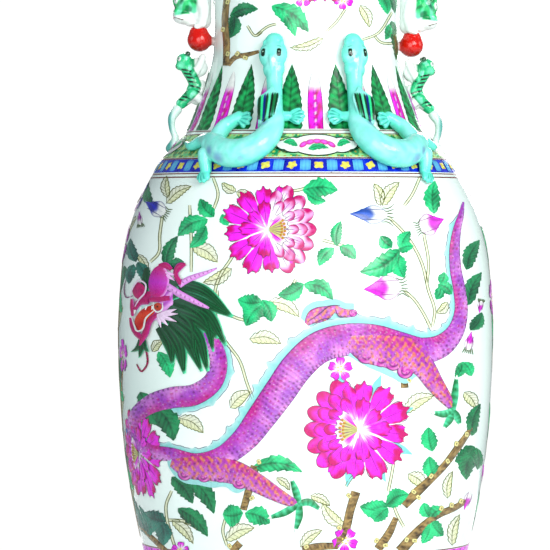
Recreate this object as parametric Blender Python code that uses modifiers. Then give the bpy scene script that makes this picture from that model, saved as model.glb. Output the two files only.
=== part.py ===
"""A tall Chinese export baluster vase with lion handles and four applied chilong dragons.

The vase is built as its potter builds it: turned sections of porcelain, luted one above
the other, with small moulded creatures luted onto the neck and the shoulder. Every piece
is its own closed solid. Lengths below are in millimetres, and the scene is in metres.
Z is up, the origin is the centre of the foot's resting face, and the front faces -Y.
An azimuth is measured round the vase from the front, positive towards +X.
"""

import math

import bmesh
import bpy
from mathutils import Matrix, Vector

MM = 0.001

# Turned sections: heights of the seams between them, and wall thicknesses.
FOOT_TOP = 12.0
WAIST_SEAM = 292.0
NECK_SEAM = 421.5
RIM_SEAM = 603.0
HEIGHT = 622.0
BODY_WALL = 6.5
NECK_WALL = 5.0
FLOOR = 9.0
SEAM_GAP = 0.3
SEAM_WELD = 0.06
STEPS = 40

# The outer silhouette, as (height, radius), foot to shoulder and then neck to lip.
BODY_OUTLINE = [
    (12, 80.5), (45, 82), (75, 86), (110, 92.3), (156, 102.9), (200, 112),
    (245, 117), (292, 118.7), (330, 117), (355, 113.3), (377, 106), (396, 96),
    (409.5, 87.5), (421.5, 75),
]
NECK_OUTLINE = [
    (421.5, 74.6), (441, 67.4), (460, 60.6), (480, 57.8), (505, 58.2), (530, 61),
    (560, 68), (585, 78), (605, 91.5), (618, 104),
]
FOOT_OUTER = 80.5
FOOT_INNER = 68.0
FOOT_BEVEL = 2.0
LIP_RADIUS = 4.0

# The handles: a lion, its ball and a cub on each side, in the plane of the X axis.
BALL_OUT = 67.4
BALL_HEIGHT = 480.5
RIGHT_HANDLE_DROP = 3.0

# Each chilong is applied to the left or right of the front or the back.
CHILONG_PLACES = {
    "front_left": (0, -1),
    "front_right": (0, 1),
    "back_left": (180, -1),
    "back_right": (180, 1),
}

PORCELAIN = ("porcelain", (0.86, 0.93, 0.89), 0.12)
TURQUOISE = ("turquoise_glaze", (0.22, 0.80, 0.68), 0.14)
GREEN = ("green_enamel", (0.05, 0.52, 0.28), 0.16)
CORAL_RED = ("coral_red_enamel", (0.86, 0.06, 0.02), 0.12)


def clear_scene():
    for thing in list(bpy.data.objects):
        bpy.data.objects.remove(thing, do_unlink=True)


def make_collection(name):
    collection = bpy.data.collections.new(name)
    bpy.context.scene.collection.children.link(collection)
    return collection


def make_material(name, colour, roughness):
    material = bpy.data.materials.get(name) or bpy.data.materials.new(name)
    material.use_nodes = True
    shader = material.node_tree.nodes["Principled BSDF"]
    shader.inputs["Base Color"].default_value = (*colour, 1.0)
    shader.inputs["Roughness"].default_value = roughness
    shader.inputs["Metallic"].default_value = 0.0
    return material


def make_object(name, mesh, collection, material=None):
    thing = bpy.data.objects.new(name, mesh)
    collection.objects.link(thing)
    if material:
        mesh.materials.clear()
        mesh.materials.append(make_material(*material))
    return thing


# ---------------------------------------------------------------- the silhouette


def radius_at(outline, height):
    """Radius of a smooth curve through an outline's points, at a height."""
    last = len(outline) - 1
    start = 0
    while start < last - 1 and height > outline[start + 1][0]:
        start += 1

    def slope(i):
        low, high = outline[max(i - 1, 0)], outline[min(i + 1, last)]
        return (high[1] - low[1]) / (high[0] - low[0])

    z0, r0 = outline[start]
    z1, r1 = outline[start + 1]
    span = z1 - z0
    t = (height - z0) / span
    rise = (3 - 2 * t) * t * t
    return (
        r0 * (1 - rise)
        + r1 * rise
        + span * slope(start) * t * (1 - t) ** 2
        - span * slope(start + 1) * t * t * (1 - t)
    )


def vase_radius(height):
    return radius_at(NECK_OUTLINE if height > NECK_SEAM else BODY_OUTLINE, height)


def outward_normal(outline, height):
    """The silhouette's unit normal, as (radial, vertical)."""
    step = 0.5
    slope = (radius_at(outline, height + step) - radius_at(outline, height - step)) / (2 * step)
    length = math.hypot(1, slope)
    return 1 / length, -slope / length


def inner_radius(outline, height, wall):
    return radius_at(outline, height) - wall / outward_normal(outline, height)[0]


def heights_between(low, high, count):
    return [low + (high - low) * i / count for i in range(count + 1)]


# ---------------------------------------------------------------- turned sections


def turned(name, profile, closed, collection, material):
    """A solid of revolution. The profile's (radius, height) points go up the inner side
    and down the outer side, and a ring's profile is closed."""
    mesh = bpy.data.meshes.new(name)
    edges = [(i, i + 1) for i in range(len(profile) - 1)]
    if closed:
        edges.append((len(profile) - 1, 0))
    mesh.from_pydata([(r * MM, 0, z * MM) for r, z in profile], edges, [])
    thing = make_object(name, mesh, collection, material)
    screw = thing.modifiers.new("Turning", "SCREW")
    screw.steps = STEPS
    screw.render_steps = STEPS
    screw.use_merge_vertices = True
    screw.merge_threshold = 0.00001
    screw.use_smooth_shade = True
    return thing


def make_foot_ring(collection):
    half_bevel = FOOT_BEVEL / 2
    profile = [
        (FOOT_INNER + half_bevel, 0),
        (FOOT_INNER, FOOT_BEVEL),
        (FOOT_INNER, FOOT_TOP - SEAM_GAP),
        (FOOT_OUTER, FOOT_TOP - SEAM_GAP),
        (FOOT_OUTER, FOOT_BEVEL),
        (FOOT_OUTER - FOOT_BEVEL, 0),
    ]
    turned("foot_ring", profile, True, collection, PORCELAIN)


def make_lower_body(collection):
    """The bowl-shaped lower half of the body, with the vase's floor in it."""
    floor_top = FOOT_TOP + FLOOR
    inner = heights_between(floor_top + 6, WAIST_SEAM, 7)
    outer = heights_between(FOOT_TOP, WAIST_SEAM, 11)
    profile = [(0, floor_top), (inner_radius(BODY_OUTLINE, floor_top, BODY_WALL) - 8, floor_top)]
    profile += [(inner_radius(BODY_OUTLINE, z, BODY_WALL), z) for z in inner]
    profile += [(radius_at(BODY_OUTLINE, z), z) for z in reversed(outer)]
    profile.append((0, FOOT_TOP))
    turned("lower_body", profile, False, collection, PORCELAIN)


def wall_ring(outline, low, high, wall, count):
    heights = heights_between(low, high, count)
    inner = [(inner_radius(outline, z, wall), z) for z in heights]
    outer = [(radius_at(outline, z), z) for z in reversed(heights)]
    return inner + outer


def make_upper_body(collection):
    """The upper half of the body, which closes in to the shoulder."""
    profile = wall_ring(BODY_OUTLINE, WAIST_SEAM + SEAM_GAP, NECK_SEAM - SEAM_GAP, BODY_WALL, 8)
    turned("upper_body", profile, True, collection, PORCELAIN)


def make_neck(collection):
    profile = wall_ring(NECK_OUTLINE, NECK_SEAM, RIM_SEAM - SEAM_GAP, NECK_WALL, 12)
    turned("neck", profile, True, collection, PORCELAIN)


def make_rim(collection):
    """The flared mouth, with a lip rolled over in a half circle."""
    lip_height = HEIGHT - LIP_RADIUS
    lip_outer = radius_at(NECK_OUTLINE, lip_height)
    lip_middle = lip_outer - LIP_RADIUS
    flare = heights_between(RIM_SEAM, lip_height, 3)
    profile = [(inner_radius(NECK_OUTLINE, z, NECK_WALL), z) for z in flare[:-1]]
    for step in range(7):
        turn = math.pi * (1 - step / 6)
        across = lip_middle + LIP_RADIUS * math.cos(turn)
        profile.append((across, lip_height + LIP_RADIUS * math.sin(turn)))
    profile += [(radius_at(NECK_OUTLINE, z), z) for z in reversed(flare[:-1])]
    turned("flared_rim", profile, True, collection, PORCELAIN)


# ---------------------------------------------------------------- modelled clay


def clay_tube(points, grow=0.0, roundness=1):
    """A rounded strip of clay through (place, radius) points, as a closed mesh object.
    Its section has 4 + 2 * roundness sides."""
    curve = bpy.data.curves.new("strip", "CURVE")
    curve.dimensions = "3D"
    curve.bevel_depth = MM
    curve.bevel_resolution = roundness
    curve.resolution_u = 2
    curve.use_fill_caps = True
    spline = curve.splines.new("BEZIER")
    spline.bezier_points.add(len(points) - 1)
    for knot, (place, radius) in zip(spline.bezier_points, points):
        knot.co = place * MM
        knot.radius = radius + grow
        knot.handle_left_type = "AUTO"
        knot.handle_right_type = "AUTO"
    thing = make_object("strip", curve, bpy.context.scene.collection)
    graph = bpy.context.evaluated_depsgraph_get()
    mesh = bpy.data.meshes.new_from_object(thing.evaluated_get(graph))
    welded = bmesh.new()
    welded.from_mesh(mesh)
    bmesh.ops.remove_doubles(welded, verts=welded.verts, dist=0.00001)
    bmesh.ops.recalc_face_normals(welded, faces=welded.faces)
    welded.to_mesh(mesh)
    welded.free()
    bpy.data.objects.remove(thing, do_unlink=True)
    bpy.data.curves.remove(curve)
    return make_object("strip", mesh, bpy.context.scene.collection)


def clay_ball(place, radii, turn=None, rings=6):
    """An ellipsoid of clay. turn is a 3x3 matrix whose columns are its axes."""
    mesh = bpy.data.meshes.new("ball")
    ball = bmesh.new()
    bmesh.ops.create_uvsphere(ball, u_segments=rings + 2, v_segments=rings, radius=MM)
    shape = (turn or Matrix.Identity(3)) @ Matrix.Diagonal(radii)
    bmesh.ops.transform(ball, matrix=shape.to_4x4(), verts=ball.verts)
    bmesh.ops.translate(ball, vec=place * MM, verts=ball.verts)
    bmesh.ops.recalc_face_normals(ball, faces=ball.faces)
    ball.to_mesh(mesh)
    ball.free()
    return make_object("ball", mesh, bpy.context.scene.collection)


def smooth_seams(mesh):
    """Welds the slivers that a joint leaves along its seam."""
    clay = bmesh.new()
    clay.from_mesh(mesh)
    bmesh.ops.triangulate(clay, faces=clay.faces)
    bmesh.ops.remove_doubles(clay, verts=clay.verts, dist=SEAM_WELD * MM)
    bmesh.ops.dissolve_degenerate(clay, edges=clay.edges, dist=SEAM_WELD * MM)
    clay.to_mesh(mesh)
    clay.free()


def fuse(name, lumps, cutters, collection, material):
    """Joins lumps of clay into one piece, and cuts it to fit its neighbours. The exact
    solver leaves gaps where these rounded lumps meet, so the manifold one joins them."""
    body = lumps[0]
    for operation, others in (("UNION", lumps[1:]), ("DIFFERENCE", cutters)):
        for other in others:
            joint = body.modifiers.new(operation, "BOOLEAN")
            joint.operation = operation
            joint.object = other
            joint.solver = "MANIFOLD"
    graph = bpy.context.evaluated_depsgraph_get()
    mesh = bpy.data.meshes.new_from_object(body.evaluated_get(graph))
    mesh.name = name
    smooth_seams(mesh)
    for lump in lumps:
        bpy.data.objects.remove(lump, do_unlink=True)
    piece = make_object(name, mesh, collection, material)
    mesh.shade_smooth()
    return piece


def make_vase_cutter(collection):
    """The outside of the neck and upper body, grown by the gap that luted pieces keep."""
    low, high = 380, 596
    body = heights_between(low, NECK_SEAM, 8)
    neck = heights_between(NECK_SEAM, high, 16)[1:]
    profile = [(0, high)]
    profile += [(vase_radius(z) + SEAM_GAP, z) for z in reversed(body + neck)]
    profile.append((0, low))
    cutter = turned("vase_surface", profile, False, collection, None)
    cutter.hide_render = True
    cutter.display_type = "WIRE"
    return cutter


# ---------------------------------------------------------------- places on the vase


def surface_axes(azimuth, height):
    """Axes at a point of the surface: along the girth, up the wall, and out of it."""
    outline = NECK_OUTLINE if height > NECK_SEAM else BODY_OUTLINE
    radial, vertical = outward_normal(outline, height)
    angle = math.radians(azimuth)
    around = Vector((math.cos(angle), math.sin(angle), 0))
    out = Vector((math.sin(angle) * radial, -math.cos(angle) * radial, vertical))
    return Matrix((around, out.cross(around), out)).transposed()


def on_vase(azimuth, height, lift):
    """The point that stands out from the vase's surface by lift."""
    angle = math.radians(azimuth)
    radius = vase_radius(height)
    foot = Vector((math.sin(angle) * radius, -math.cos(angle) * radius, height))
    return foot + surface_axes(azimuth, height).col[2] * lift


# ---------------------------------------------------------------- chilong

# Each limb is a line of (azimuth, height, lift, radius) points on a right-hand chilong.
CHILONG_SPINE = [
    (23, 470, 5.0, 5.8), (22, 456, 5.0, 5.4), (20.5, 443.5, 5.0, 4.8), (19.5, 431, 5.6, 5.4), (19, 420.5, 6.4, 7.0),
    (22.5, 407.5, 6.5, 8.2), (28.5, 403, 6.5, 8.8), (35.5, 403, 6.5, 8.8), (43, 408, 6.0, 7.2), (51, 411.5, 4.0, 4.2),
    (58, 409, 3.0, 2.8), (63.5, 411, 2.5, 1.6),
]
CHILONG_HEAD = [
    ((22.8, 466.5, 6.0), (9.0, 9.5, 5.5)),
    ((23.2, 474.5, 5.0), (6.0, 6.5, 4.4)),
    ((27.1, 467, 8.5), (2.4, 3.2, 2.6)),
    ((18.5, 467, 8.5), (2.4, 3.2, 2.6)),
]
# A leg's line, then its toes as (direction in degrees from the girth, half length).
# The toes fan out from the leg's last point.
CHILONG_LEGS = {
    "fore_leg": (
        [(19, 425.5, 6.0, 4.6), (16, 427, 4.6, 3.4), (13.5, 428, 2.8, 3.0)],
        [(154, 5.2), (171, 5.8), (189, 5.8), (206, 5.2)],
    ),
    "upper_hind_leg": (
        [(43, 410.5, 6.5, 5.2), (43, 420, 5.0, 4.6), (38, 427.5, 3.0, 3.6)],
        [(170, 4.4), (208, 5.0), (246, 4.6)],
    ),
    "lower_hind_leg": (
        [(44, 402, 7.0, 4.6), (43.6, 398.5, 5.2, 4.2), (43, 394.5, 2.8, 3.4)],
        [(246, 4.4), (270, 4.8), (294, 4.4)],
    ),
}
TOE_RADIUS = 2.1


def chilong_azimuth(place, azimuth):
    middle, hand = CHILONG_PLACES[place]
    return middle + hand * azimuth


def chilong_line(place, line):
    return [(on_vase(chilong_azimuth(place, a), z, lift), radius) for a, z, lift, radius in line]


def make_chilong_body(place, vase, collection):
    """Head, neck, curved body and curled tail, which are one strip of clay."""
    lumps = [clay_tube(chilong_line(place, CHILONG_SPINE), roundness=2)]
    for (azimuth, height, lift), radii in CHILONG_HEAD:
        where = chilong_azimuth(place, azimuth)
        lumps.append(clay_ball(on_vase(where, height, lift), radii, surface_axes(where, height)))
    fuse(f"chilong_{place}_body", lumps, [vase], collection, TURQUOISE)


def make_paw(place, toes, wrist):
    """Toes that fan out from the wrist in the plane of the vase's surface."""
    azimuth, height, lift, _ = wrist
    where = chilong_azimuth(place, azimuth)
    hand = CHILONG_PLACES[place][1]
    around, up, out = surface_axes(where, height).col
    lumps = []
    for direction, length in toes:
        angle = math.radians(direction)
        along = around * math.cos(angle) * hand + up * math.sin(angle)
        aim = Matrix((along, out.cross(along), out)).transposed()
        spot = on_vase(where, height, lift) + along * length
        lumps.append(clay_ball(spot, (length, TOE_RADIUS, TOE_RADIUS), aim, rings=4))
    return lumps


def make_chilong_legs(place, vase, collection):
    body = clay_tube(chilong_line(place, CHILONG_SPINE), SEAM_GAP, roundness=2)
    for limb, (line, toes) in CHILONG_LEGS.items():
        lumps = [clay_tube(chilong_line(place, line))] + make_paw(place, toes, line[-1])
        fuse(f"chilong_{place}_{limb}", lumps, [body, vase], collection, TURQUOISE)
    bpy.data.objects.remove(body, do_unlink=True)


# ---------------------------------------------------------------- handles


def handle_point(side, out, height, across=0.0):
    drop = RIGHT_HANDLE_DROP if side > 0 else 0
    return Vector((side * out, across, height - drop))


def handle_line(side, line):
    return [(handle_point(side, out, z), radius) for out, z, radius in line]


def pair(side, out, height, across, radii):
    """Two matching lumps, one on each side of the handle's plane."""
    return [clay_ball(handle_point(side, out, height, y), radii, rings=4) for y in (-across, across)]


def make_lion(side, name, vase, collection):
    """The adult lion climbs down the neck, head outward, with its forepaws on the ball."""
    lumps = [
        clay_tube(handle_line(side, [
            (68, 497, 7.5), (68, 510, 8.2), (70, 526, 8.5), (70.5, 542, 8.5), (68, 555, 6),
        ])),
        clay_ball(handle_point(side, 77, 505.5), (8.6, 8.4, 8.6)),
        clay_ball(handle_point(side, 77.5, 495.5), (6.6, 6.4, 6.8)),
        clay_ball(handle_point(side, 79, 514), (6.5, 9, 7)),
        clay_tube(handle_line(side, [(70, 552, 5), (76, 560, 3.6), (77, 570, 2.6), (74, 577, 1.8)])),
    ]
    lumps += pair(side, 78.5, 512.5, 7.0, (3.0, 2.4, 3.6))
    lumps += pair(side, 72, 541, 6.5, (6.5, 4.5, 8.5))
    lumps += pair(side, 66, 494.5, 4.5, (3.4, 3.2, 5.0))
    fuse(f"{name}_lion", lumps, [vase], collection, GREEN)


def make_ball(side, name, vase, collection):
    """The ball, a little pear-shaped, with a lug that holds it to the neck."""
    lumps = [
        clay_ball(handle_point(side, BALL_OUT, BALL_HEIGHT - 1), (7.8, 7.6, 7.8), rings=10),
        clay_ball(handle_point(side, BALL_OUT + 0.6, BALL_HEIGHT + 3.4), (5.8, 5.6, 5.2)),
        clay_tube(handle_line(side, [(64, BALL_HEIGHT - 2, 3.2), (55, BALL_HEIGHT - 2, 3.2)])),
    ]
    fuse(f"{name}_ball", lumps, [vase], collection, CORAL_RED)


def make_cub(side, name, vase, collection):
    """The cub climbs towards the ball, with its belly against the neck."""
    lumps = [
        clay_tube(handle_line(side, [
            (78.5, 465.5, 4.2), (75.5, 459, 4.8), (72.5, 452, 5.2), (76, 445, 4.8), (81, 438.5, 3.6),
        ])),
        clay_ball(handle_point(side, 78.3, 465.5), (4.4, 5.2, 5.0)),
        clay_ball(handle_point(side, 80.2, 463.3), (2.6, 3.6, 2.8), rings=4),
        clay_ball(handle_point(side, 71, 462), (7.0, 4.6, 6.8)),
        clay_ball(handle_point(side, 71.5, 447.5), (9.0, 5.0, 9.4)),
    ]
    lumps += pair(side, 76.6, 469.8, 3.6, (1.5, 1.4, 2.0))
    lumps += pair(side, 67.5, 467.4, 3.4, (3.0, 2.2, 3.4))
    fuse(f"{name}_cub", lumps, [vase], collection, GREEN)


def make_tail_loop(side, name, vase, collection):
    """The cub's tail, a strut that bows outward and stands on the shoulder."""
    line = handle_line(side, [
        (83.0, 433.8, 3.0), (85.2, 429.5, 2.7), (84.8, 422.5, 2.2), (83.4, 416.5, 2.2), (86.5, 410, 3.4),
    ])
    fuse(f"{name}_tail_loop", [clay_tube(line)], [vase], collection, PORCELAIN)


def make_handle(side, name, vase, collection):
    make_lion(side, name, vase, collection)
    make_ball(side, name, vase, collection)
    make_cub(side, name, vase, collection)
    make_tail_loop(side, name, vase, collection)


# ---------------------------------------------------------------- the whole vase


def main():
    clear_scene()
    vase_pieces = make_collection("porcelain_vase")
    cutters = make_collection("cutters")
    make_foot_ring(vase_pieces)
    make_lower_body(vase_pieces)
    make_upper_body(vase_pieces)
    make_neck(vase_pieces)
    make_rim(vase_pieces)
    vase = make_vase_cutter(cutters)
    for place in CHILONG_PLACES:
        make_chilong_body(place, vase, vase_pieces)
        make_chilong_legs(place, vase, vase_pieces)
    make_handle(-1, "left", vase, vase_pieces)
    make_handle(1, "right", vase, vase_pieces)


main()
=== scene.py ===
"""The visual model of the enamelled porcelain vase: the glazed vessel, the enamel painted on it, and
the modelled dragons and lions. Lengths are in millimetres, and heights are measured from the foot."""

import math

import bmesh
import bpy
import numpy as np
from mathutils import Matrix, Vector


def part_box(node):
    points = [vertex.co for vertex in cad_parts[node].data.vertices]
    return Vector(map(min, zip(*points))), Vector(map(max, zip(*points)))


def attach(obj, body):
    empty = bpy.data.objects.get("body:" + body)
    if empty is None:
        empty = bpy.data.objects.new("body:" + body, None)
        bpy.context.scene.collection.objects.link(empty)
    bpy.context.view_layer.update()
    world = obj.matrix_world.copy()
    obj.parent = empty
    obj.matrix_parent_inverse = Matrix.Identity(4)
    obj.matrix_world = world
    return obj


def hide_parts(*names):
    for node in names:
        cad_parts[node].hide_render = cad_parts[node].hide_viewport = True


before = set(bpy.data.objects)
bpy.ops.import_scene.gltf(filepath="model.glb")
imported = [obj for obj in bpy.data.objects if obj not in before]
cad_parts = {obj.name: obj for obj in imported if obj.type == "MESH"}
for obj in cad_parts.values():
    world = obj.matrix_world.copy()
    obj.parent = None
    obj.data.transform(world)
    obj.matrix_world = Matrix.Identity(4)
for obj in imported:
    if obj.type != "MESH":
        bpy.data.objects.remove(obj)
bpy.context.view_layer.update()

MM = 0.001
FACING = math.radians(-4.5)  # the azimuth that the front painting faces
SIDE_TURN = math.radians(94)  # from each main scene to the side scene on its right
EYE_DISTANCE, EYE_HEIGHT, EYE_ASIDE = 2600, 366, 19.4  # where the painting is seen from
EDGE_SHARE = 0.92  # how far from the middle, as a share of the radius, paint lies just where it is seen
EDGE_STRETCH = 2.5  # past that, how much the paint is drawn out along the girth
FOOT_TOP, WAIST, SHOULDER, RIM_SEAM, HEIGHT = 12.0, 292.0, 421.5, 603.0, 622.0
BODY_WALL, NECK_WALL, LIP = 6.5, 5.0, 4.0
SEGMENTS = 240
PAINT_DEPTH, PAINT_STRENGTH = 1.22, 0.86  # deepens every painted colour as it is fired


# ---------------------------------------------------------------- colours


def ink(red, green, blue):
    """A colour from its 0-255 screen values, as linear light."""
    c = np.array([red, green, blue], float) / 255
    return np.where(c <= 0.04045, c / 12.92, ((c + 0.055) / 1.055) ** 2.4)


def mix(first, second, weight):
    """From first to second. The weight may be an array, which adds the colour as a last axis."""
    weight = np.asarray(weight, float)[..., None]
    return first * (1 - weight) + second * weight


def ramp(low, high, value):
    value = np.clip((value - low) / (high - low), 0, 1)
    return value * value * (3 - 2 * value)


def clouds(x, y, size):
    """Smooth, repeatable blotches between 0 and 1, about size apart."""
    a, b = x / size, y / size
    waves = np.sin(3.1 * a + 1.7 * np.sin(2.3 * b)) + np.sin(2.7 * b + 1.9 * np.sin(2.9 * a + 1.1))
    return 0.5 + 0.25 * (waves + 0 * a * b)


WHITE = ink(252, 255, 252)
MAGENTA, CRIMSON, PETAL, PINK = ink(250, 50, 246), ink(214, 10,
                                                       130), ink(253, 120, 253), ink(254, 205, 254)
VIOLET_LINE, OLIVE, UMBER = ink(96, 24, 110), ink(120, 128, 70), ink(112, 66, 36)
LEAF = (ink(62, 230, 158), ink(8, 124, 82))
DEEP_LEAF = (ink(46, 168, 112), ink(8, 84, 62))
TEAL_LEAF = (ink(60, 160, 140), ink(10, 80, 78))
PALE_LEAF = ink(240, 244, 196)
MANE_DARK, MANE, MINT = ink(8, 78, 46), ink(24, 140, 84), ink(110, 240, 190)
SCALE, SCALE_LIGHT, SCALE_DARK, SCALE_BLUE = ink(206, 92,
                                                 216), ink(250, 190, 252), ink(112, 16,
                                                                               104), ink(136, 84, 214)
CYAN, CYAN_PALE = ink(150, 226, 226), ink(222, 250, 248)
BLUE, BLUE_PALE, YELLOW, OCHRE = ink(10, 44, 214), ink(120, 214,
                                                       248), ink(244, 240, 120), ink(206, 150, 50)
ORANGE, RED, BROWN_LINE, BLACK = ink(240, 84, 40), ink(214, 20, 10), ink(140, 72, 62), ink(14, 22, 24)
BARK, BARK_DARK, KNOT = ink(196, 168, 112), ink(62, 42, 26), ink(244, 236, 170)


# ---------------------------------------------------------------- materials


class Nodes:
    """A material's node tree, with short calls to add and link nodes."""

    def __init__(self, name):
        self.material = bpy.data.materials.new(name)
        self.material.use_nodes = True
        self.tree = self.material.node_tree
        self.shader = self.tree.nodes["Principled BSDF"]
        self.place = self.add("ShaderNodeTexCoord").outputs["Object"]

    def add(self, kind, **settings):
        node = self.tree.nodes.new(kind)
        for key, value in settings.items():
            setattr(node, key, value)
        return node

    def link(self, source, target):
        self.tree.links.new(source, target)

    def noise(self, scale, detail=2.0):
        node = self.add("ShaderNodeTexNoise")
        node.inputs["Scale"].default_value = scale
        node.inputs["Detail"].default_value = detail
        self.link(self.place, node.inputs["Vector"])
        return node.outputs["Fac"]

    def spread(self, value, low, high, low_out, high_out):
        node = self.add("ShaderNodeMapRange")
        for key, number in zip(("From Min", "From Max", "To Min", "To Max"),
                               (low, high, low_out, high_out)):
            node.inputs[key].default_value = number
        self.link(value, node.inputs["Value"])
        return node.outputs["Result"]

    def bump(self, height, distance, strength=1.0, below=None):
        node = self.add("ShaderNodeBump")
        node.inputs["Distance"].default_value = distance
        node.inputs["Strength"].default_value = strength
        self.link(height, node.inputs["Height"])
        if below is not None:
            self.link(below, node.inputs["Normal"])
        return node.outputs["Normal"]

    def blend(self, weight, first, second):
        """Mixes two colours, each a socket or a plain colour."""
        node = self.add("ShaderNodeMix", data_type="RGBA")
        self.link(weight, node.inputs["Factor"])
        sockets = [s for s in node.inputs if s.type == "RGBA"]
        for socket, value in zip(sockets, (first, second)):
            if isinstance(value, bpy.types.NodeSocket):
                self.link(value, socket)
            else:
                socket.default_value = (*value, 1)
        return [s for s in node.outputs if s.type == "RGBA"][0]

    def scale_colour(self, colour, amount):
        node = self.add("ShaderNodeVectorMath", operation="SCALE")
        self.link(colour, node.inputs[0])
        self.link(amount, node.inputs["Scale"])
        return node.outputs[0]


def glaze_material():
    """Clear, faintly mint glaze over white porcelain: slow waves, pinholes and a few iron specks."""
    m = Nodes("porcelain_glaze")
    tone = m.spread(m.noise(9, 3), 0.35, 0.65, 0, 1)
    ground = m.blend(tone, ink(232, 250, 244), ink(240, 252, 248))
    speck = m.spread(m.noise(420, 1), 0.80, 0.84, 0, 1)
    m.link(m.blend(speck, ground, ink(170, 186, 172)), m.shader.inputs["Base Color"])
    waves = m.bump(m.noise(26, 2), 0.0005, 0.5)
    m.link(m.bump(m.noise(700, 2), 0.00003, 0.5, waves), m.shader.inputs["Normal"])
    m.link(m.spread(m.noise(60, 2), 0.3, 0.7, 0.07, 0.13), m.shader.inputs["Roughness"])
    m.shader.inputs["Coat Weight"].default_value = 0.3
    m.shader.inputs["Coat Roughness"].default_value = 0.05
    return m.material


def biscuit_material():
    """The bare, slightly gritty clay where the foot was wiped clean of glaze."""
    m = Nodes("bare_foot")
    tone = m.spread(m.noise(120, 4), 0.3, 0.7, 0, 1)
    m.link(m.blend(tone, ink(226, 206, 176), ink(202, 168, 128)), m.shader.inputs["Base Color"])
    m.link(m.bump(m.noise(1800, 3), 0.0001, 0.8), m.shader.inputs["Normal"])
    m.shader.inputs["Roughness"].default_value = 0.75
    return m.material


def enamel_material(name, roughness, patchiness):
    """Painted enamel: the colour at each point, thicker and thinner by the brush, under a soft gloss."""
    m = Nodes(name)
    paint = m.add("ShaderNodeAttribute", attribute_name="Col").outputs["Color"]
    brush = m.spread(m.noise(300, 3), 0.3, 0.7, 1 - patchiness, 1 + patchiness * 0.5)
    grain = m.spread(m.noise(1500, 2), 0.3, 0.7, 1 - patchiness * 0.5, 1.0)
    m.link(m.scale_colour(m.scale_colour(paint, brush), grain), m.shader.inputs["Base Color"])
    m.link(m.spread(m.noise(180, 2), 0.3, 0.7, roughness, roughness + 0.14),
           m.shader.inputs["Roughness"])
    m.link(m.bump(m.noise(900, 3), 0.00006, 0.6), m.shader.inputs["Normal"])
    return m.material


GLAZE = glaze_material()
BISCUIT = biscuit_material()
ENAMEL = enamel_material("painted_enamel", 0.22, 0.10)
CLAY_GLAZE = enamel_material("coloured_glaze", 0.08, 0.08)


# ---------------------------------------------------------------- the wall


def measure_wall():
    """Outer radius of the turned CAD pieces at even heights, smoothed across their facets."""
    solids = [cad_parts[n] for n in ("foot_ring", "lower_body", "upper_body", "neck",
                                          "flared_rim")]
    heights = np.arange(FOOT_TOP - 6, HEIGHT - LIP, 3.0)
    radii = []
    for height in heights:
        start = Vector((0.4, 0.0001, height * MM))
        hits = [solid.ray_cast(start, Vector((-1, 0, 0))) for solid in solids]
        found = [hit[1].x for hit in hits if hit[0] and hit[1].x > 0]
        radii.append(max(found) / MM if found else radii[-1])
    padded = np.concatenate([[2 * radii[0] - radii[2 - i] for i in range(2)], radii,
                             [2 * radii[-1] - radii[-2 - i] for i in range(2)]])
    return heights, np.convolve(padded, [1 / 9, 2 / 9, 3 / 9, 2 / 9, 1 / 9], "valid")


WALL_HEIGHTS, WALL_RADII = measure_wall()
WALL_SLOPES = np.gradient(WALL_RADII, WALL_HEIGHTS)


def radius(height):
    return np.interp(height, WALL_HEIGHTS, WALL_RADII)


def on_wall(azimuth, height, lift):
    """Points that stand out from the wall by lift, in metres. Azimuth 0 faces the front, -Y."""
    slope = np.interp(height, WALL_HEIGHTS, WALL_SLOPES)
    length = np.sqrt(1 + slope**2)
    out = radius(height) + lift / length
    up = height - lift * slope / length
    return np.stack([np.sin(azimuth) * out, -np.cos(azimuth) * out, up], -1) * MM


def link_mesh(name, points, faces, material, smooth_angle=None):
    mesh = bpy.data.meshes.new(name)
    mesh.from_pydata(np.asarray(points).tolist(), [], np.asarray(faces).tolist())
    mesh.materials.append(material)
    mesh.shade_smooth()
    if smooth_angle:
        mesh.set_sharp_from_angle(angle=math.radians(smooth_angle))
    piece = bpy.data.objects.new(name, mesh)
    bpy.context.scene.collection.objects.link(piece)
    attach(piece, "root")
    return piece


def turned(name, node, profile, material=GLAZE):
    """A ring turned from a closed profile of (radius, height) points, which runs up the outside."""
    profile = np.array(profile, float)
    angles = np.linspace(0, 2 * np.pi, SEGMENTS, endpoint=False)[:, None]
    across, up = profile[None, :, 0], profile[None, :, 1] + 0 * angles
    points = np.stack([np.sin(angles) * across, -np.cos(angles) * across, up], -1).reshape(-1, 3) * MM
    count = len(profile)
    index = np.arange(SEGMENTS * count).reshape(SEGMENTS, count)
    right, above = np.roll(index, -1, 0), np.roll(index, -1, 1)
    corner = np.roll(right, -1, 1)
    faces = np.stack([index, right, corner, above], -1).reshape(-1, 4)
    piece = link_mesh(name, points, faces, material, smooth_angle=35)
    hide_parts(node)


def wall_profile(low, high, thickness, step=2.5):
    heights = np.linspace(low, high, int((high - low) / step) + 1)
    outside = [(radius(z), z) for z in heights]
    inside = [(radius(z) - thickness, z) for z in heights[::-1]]
    return outside, inside


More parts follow.
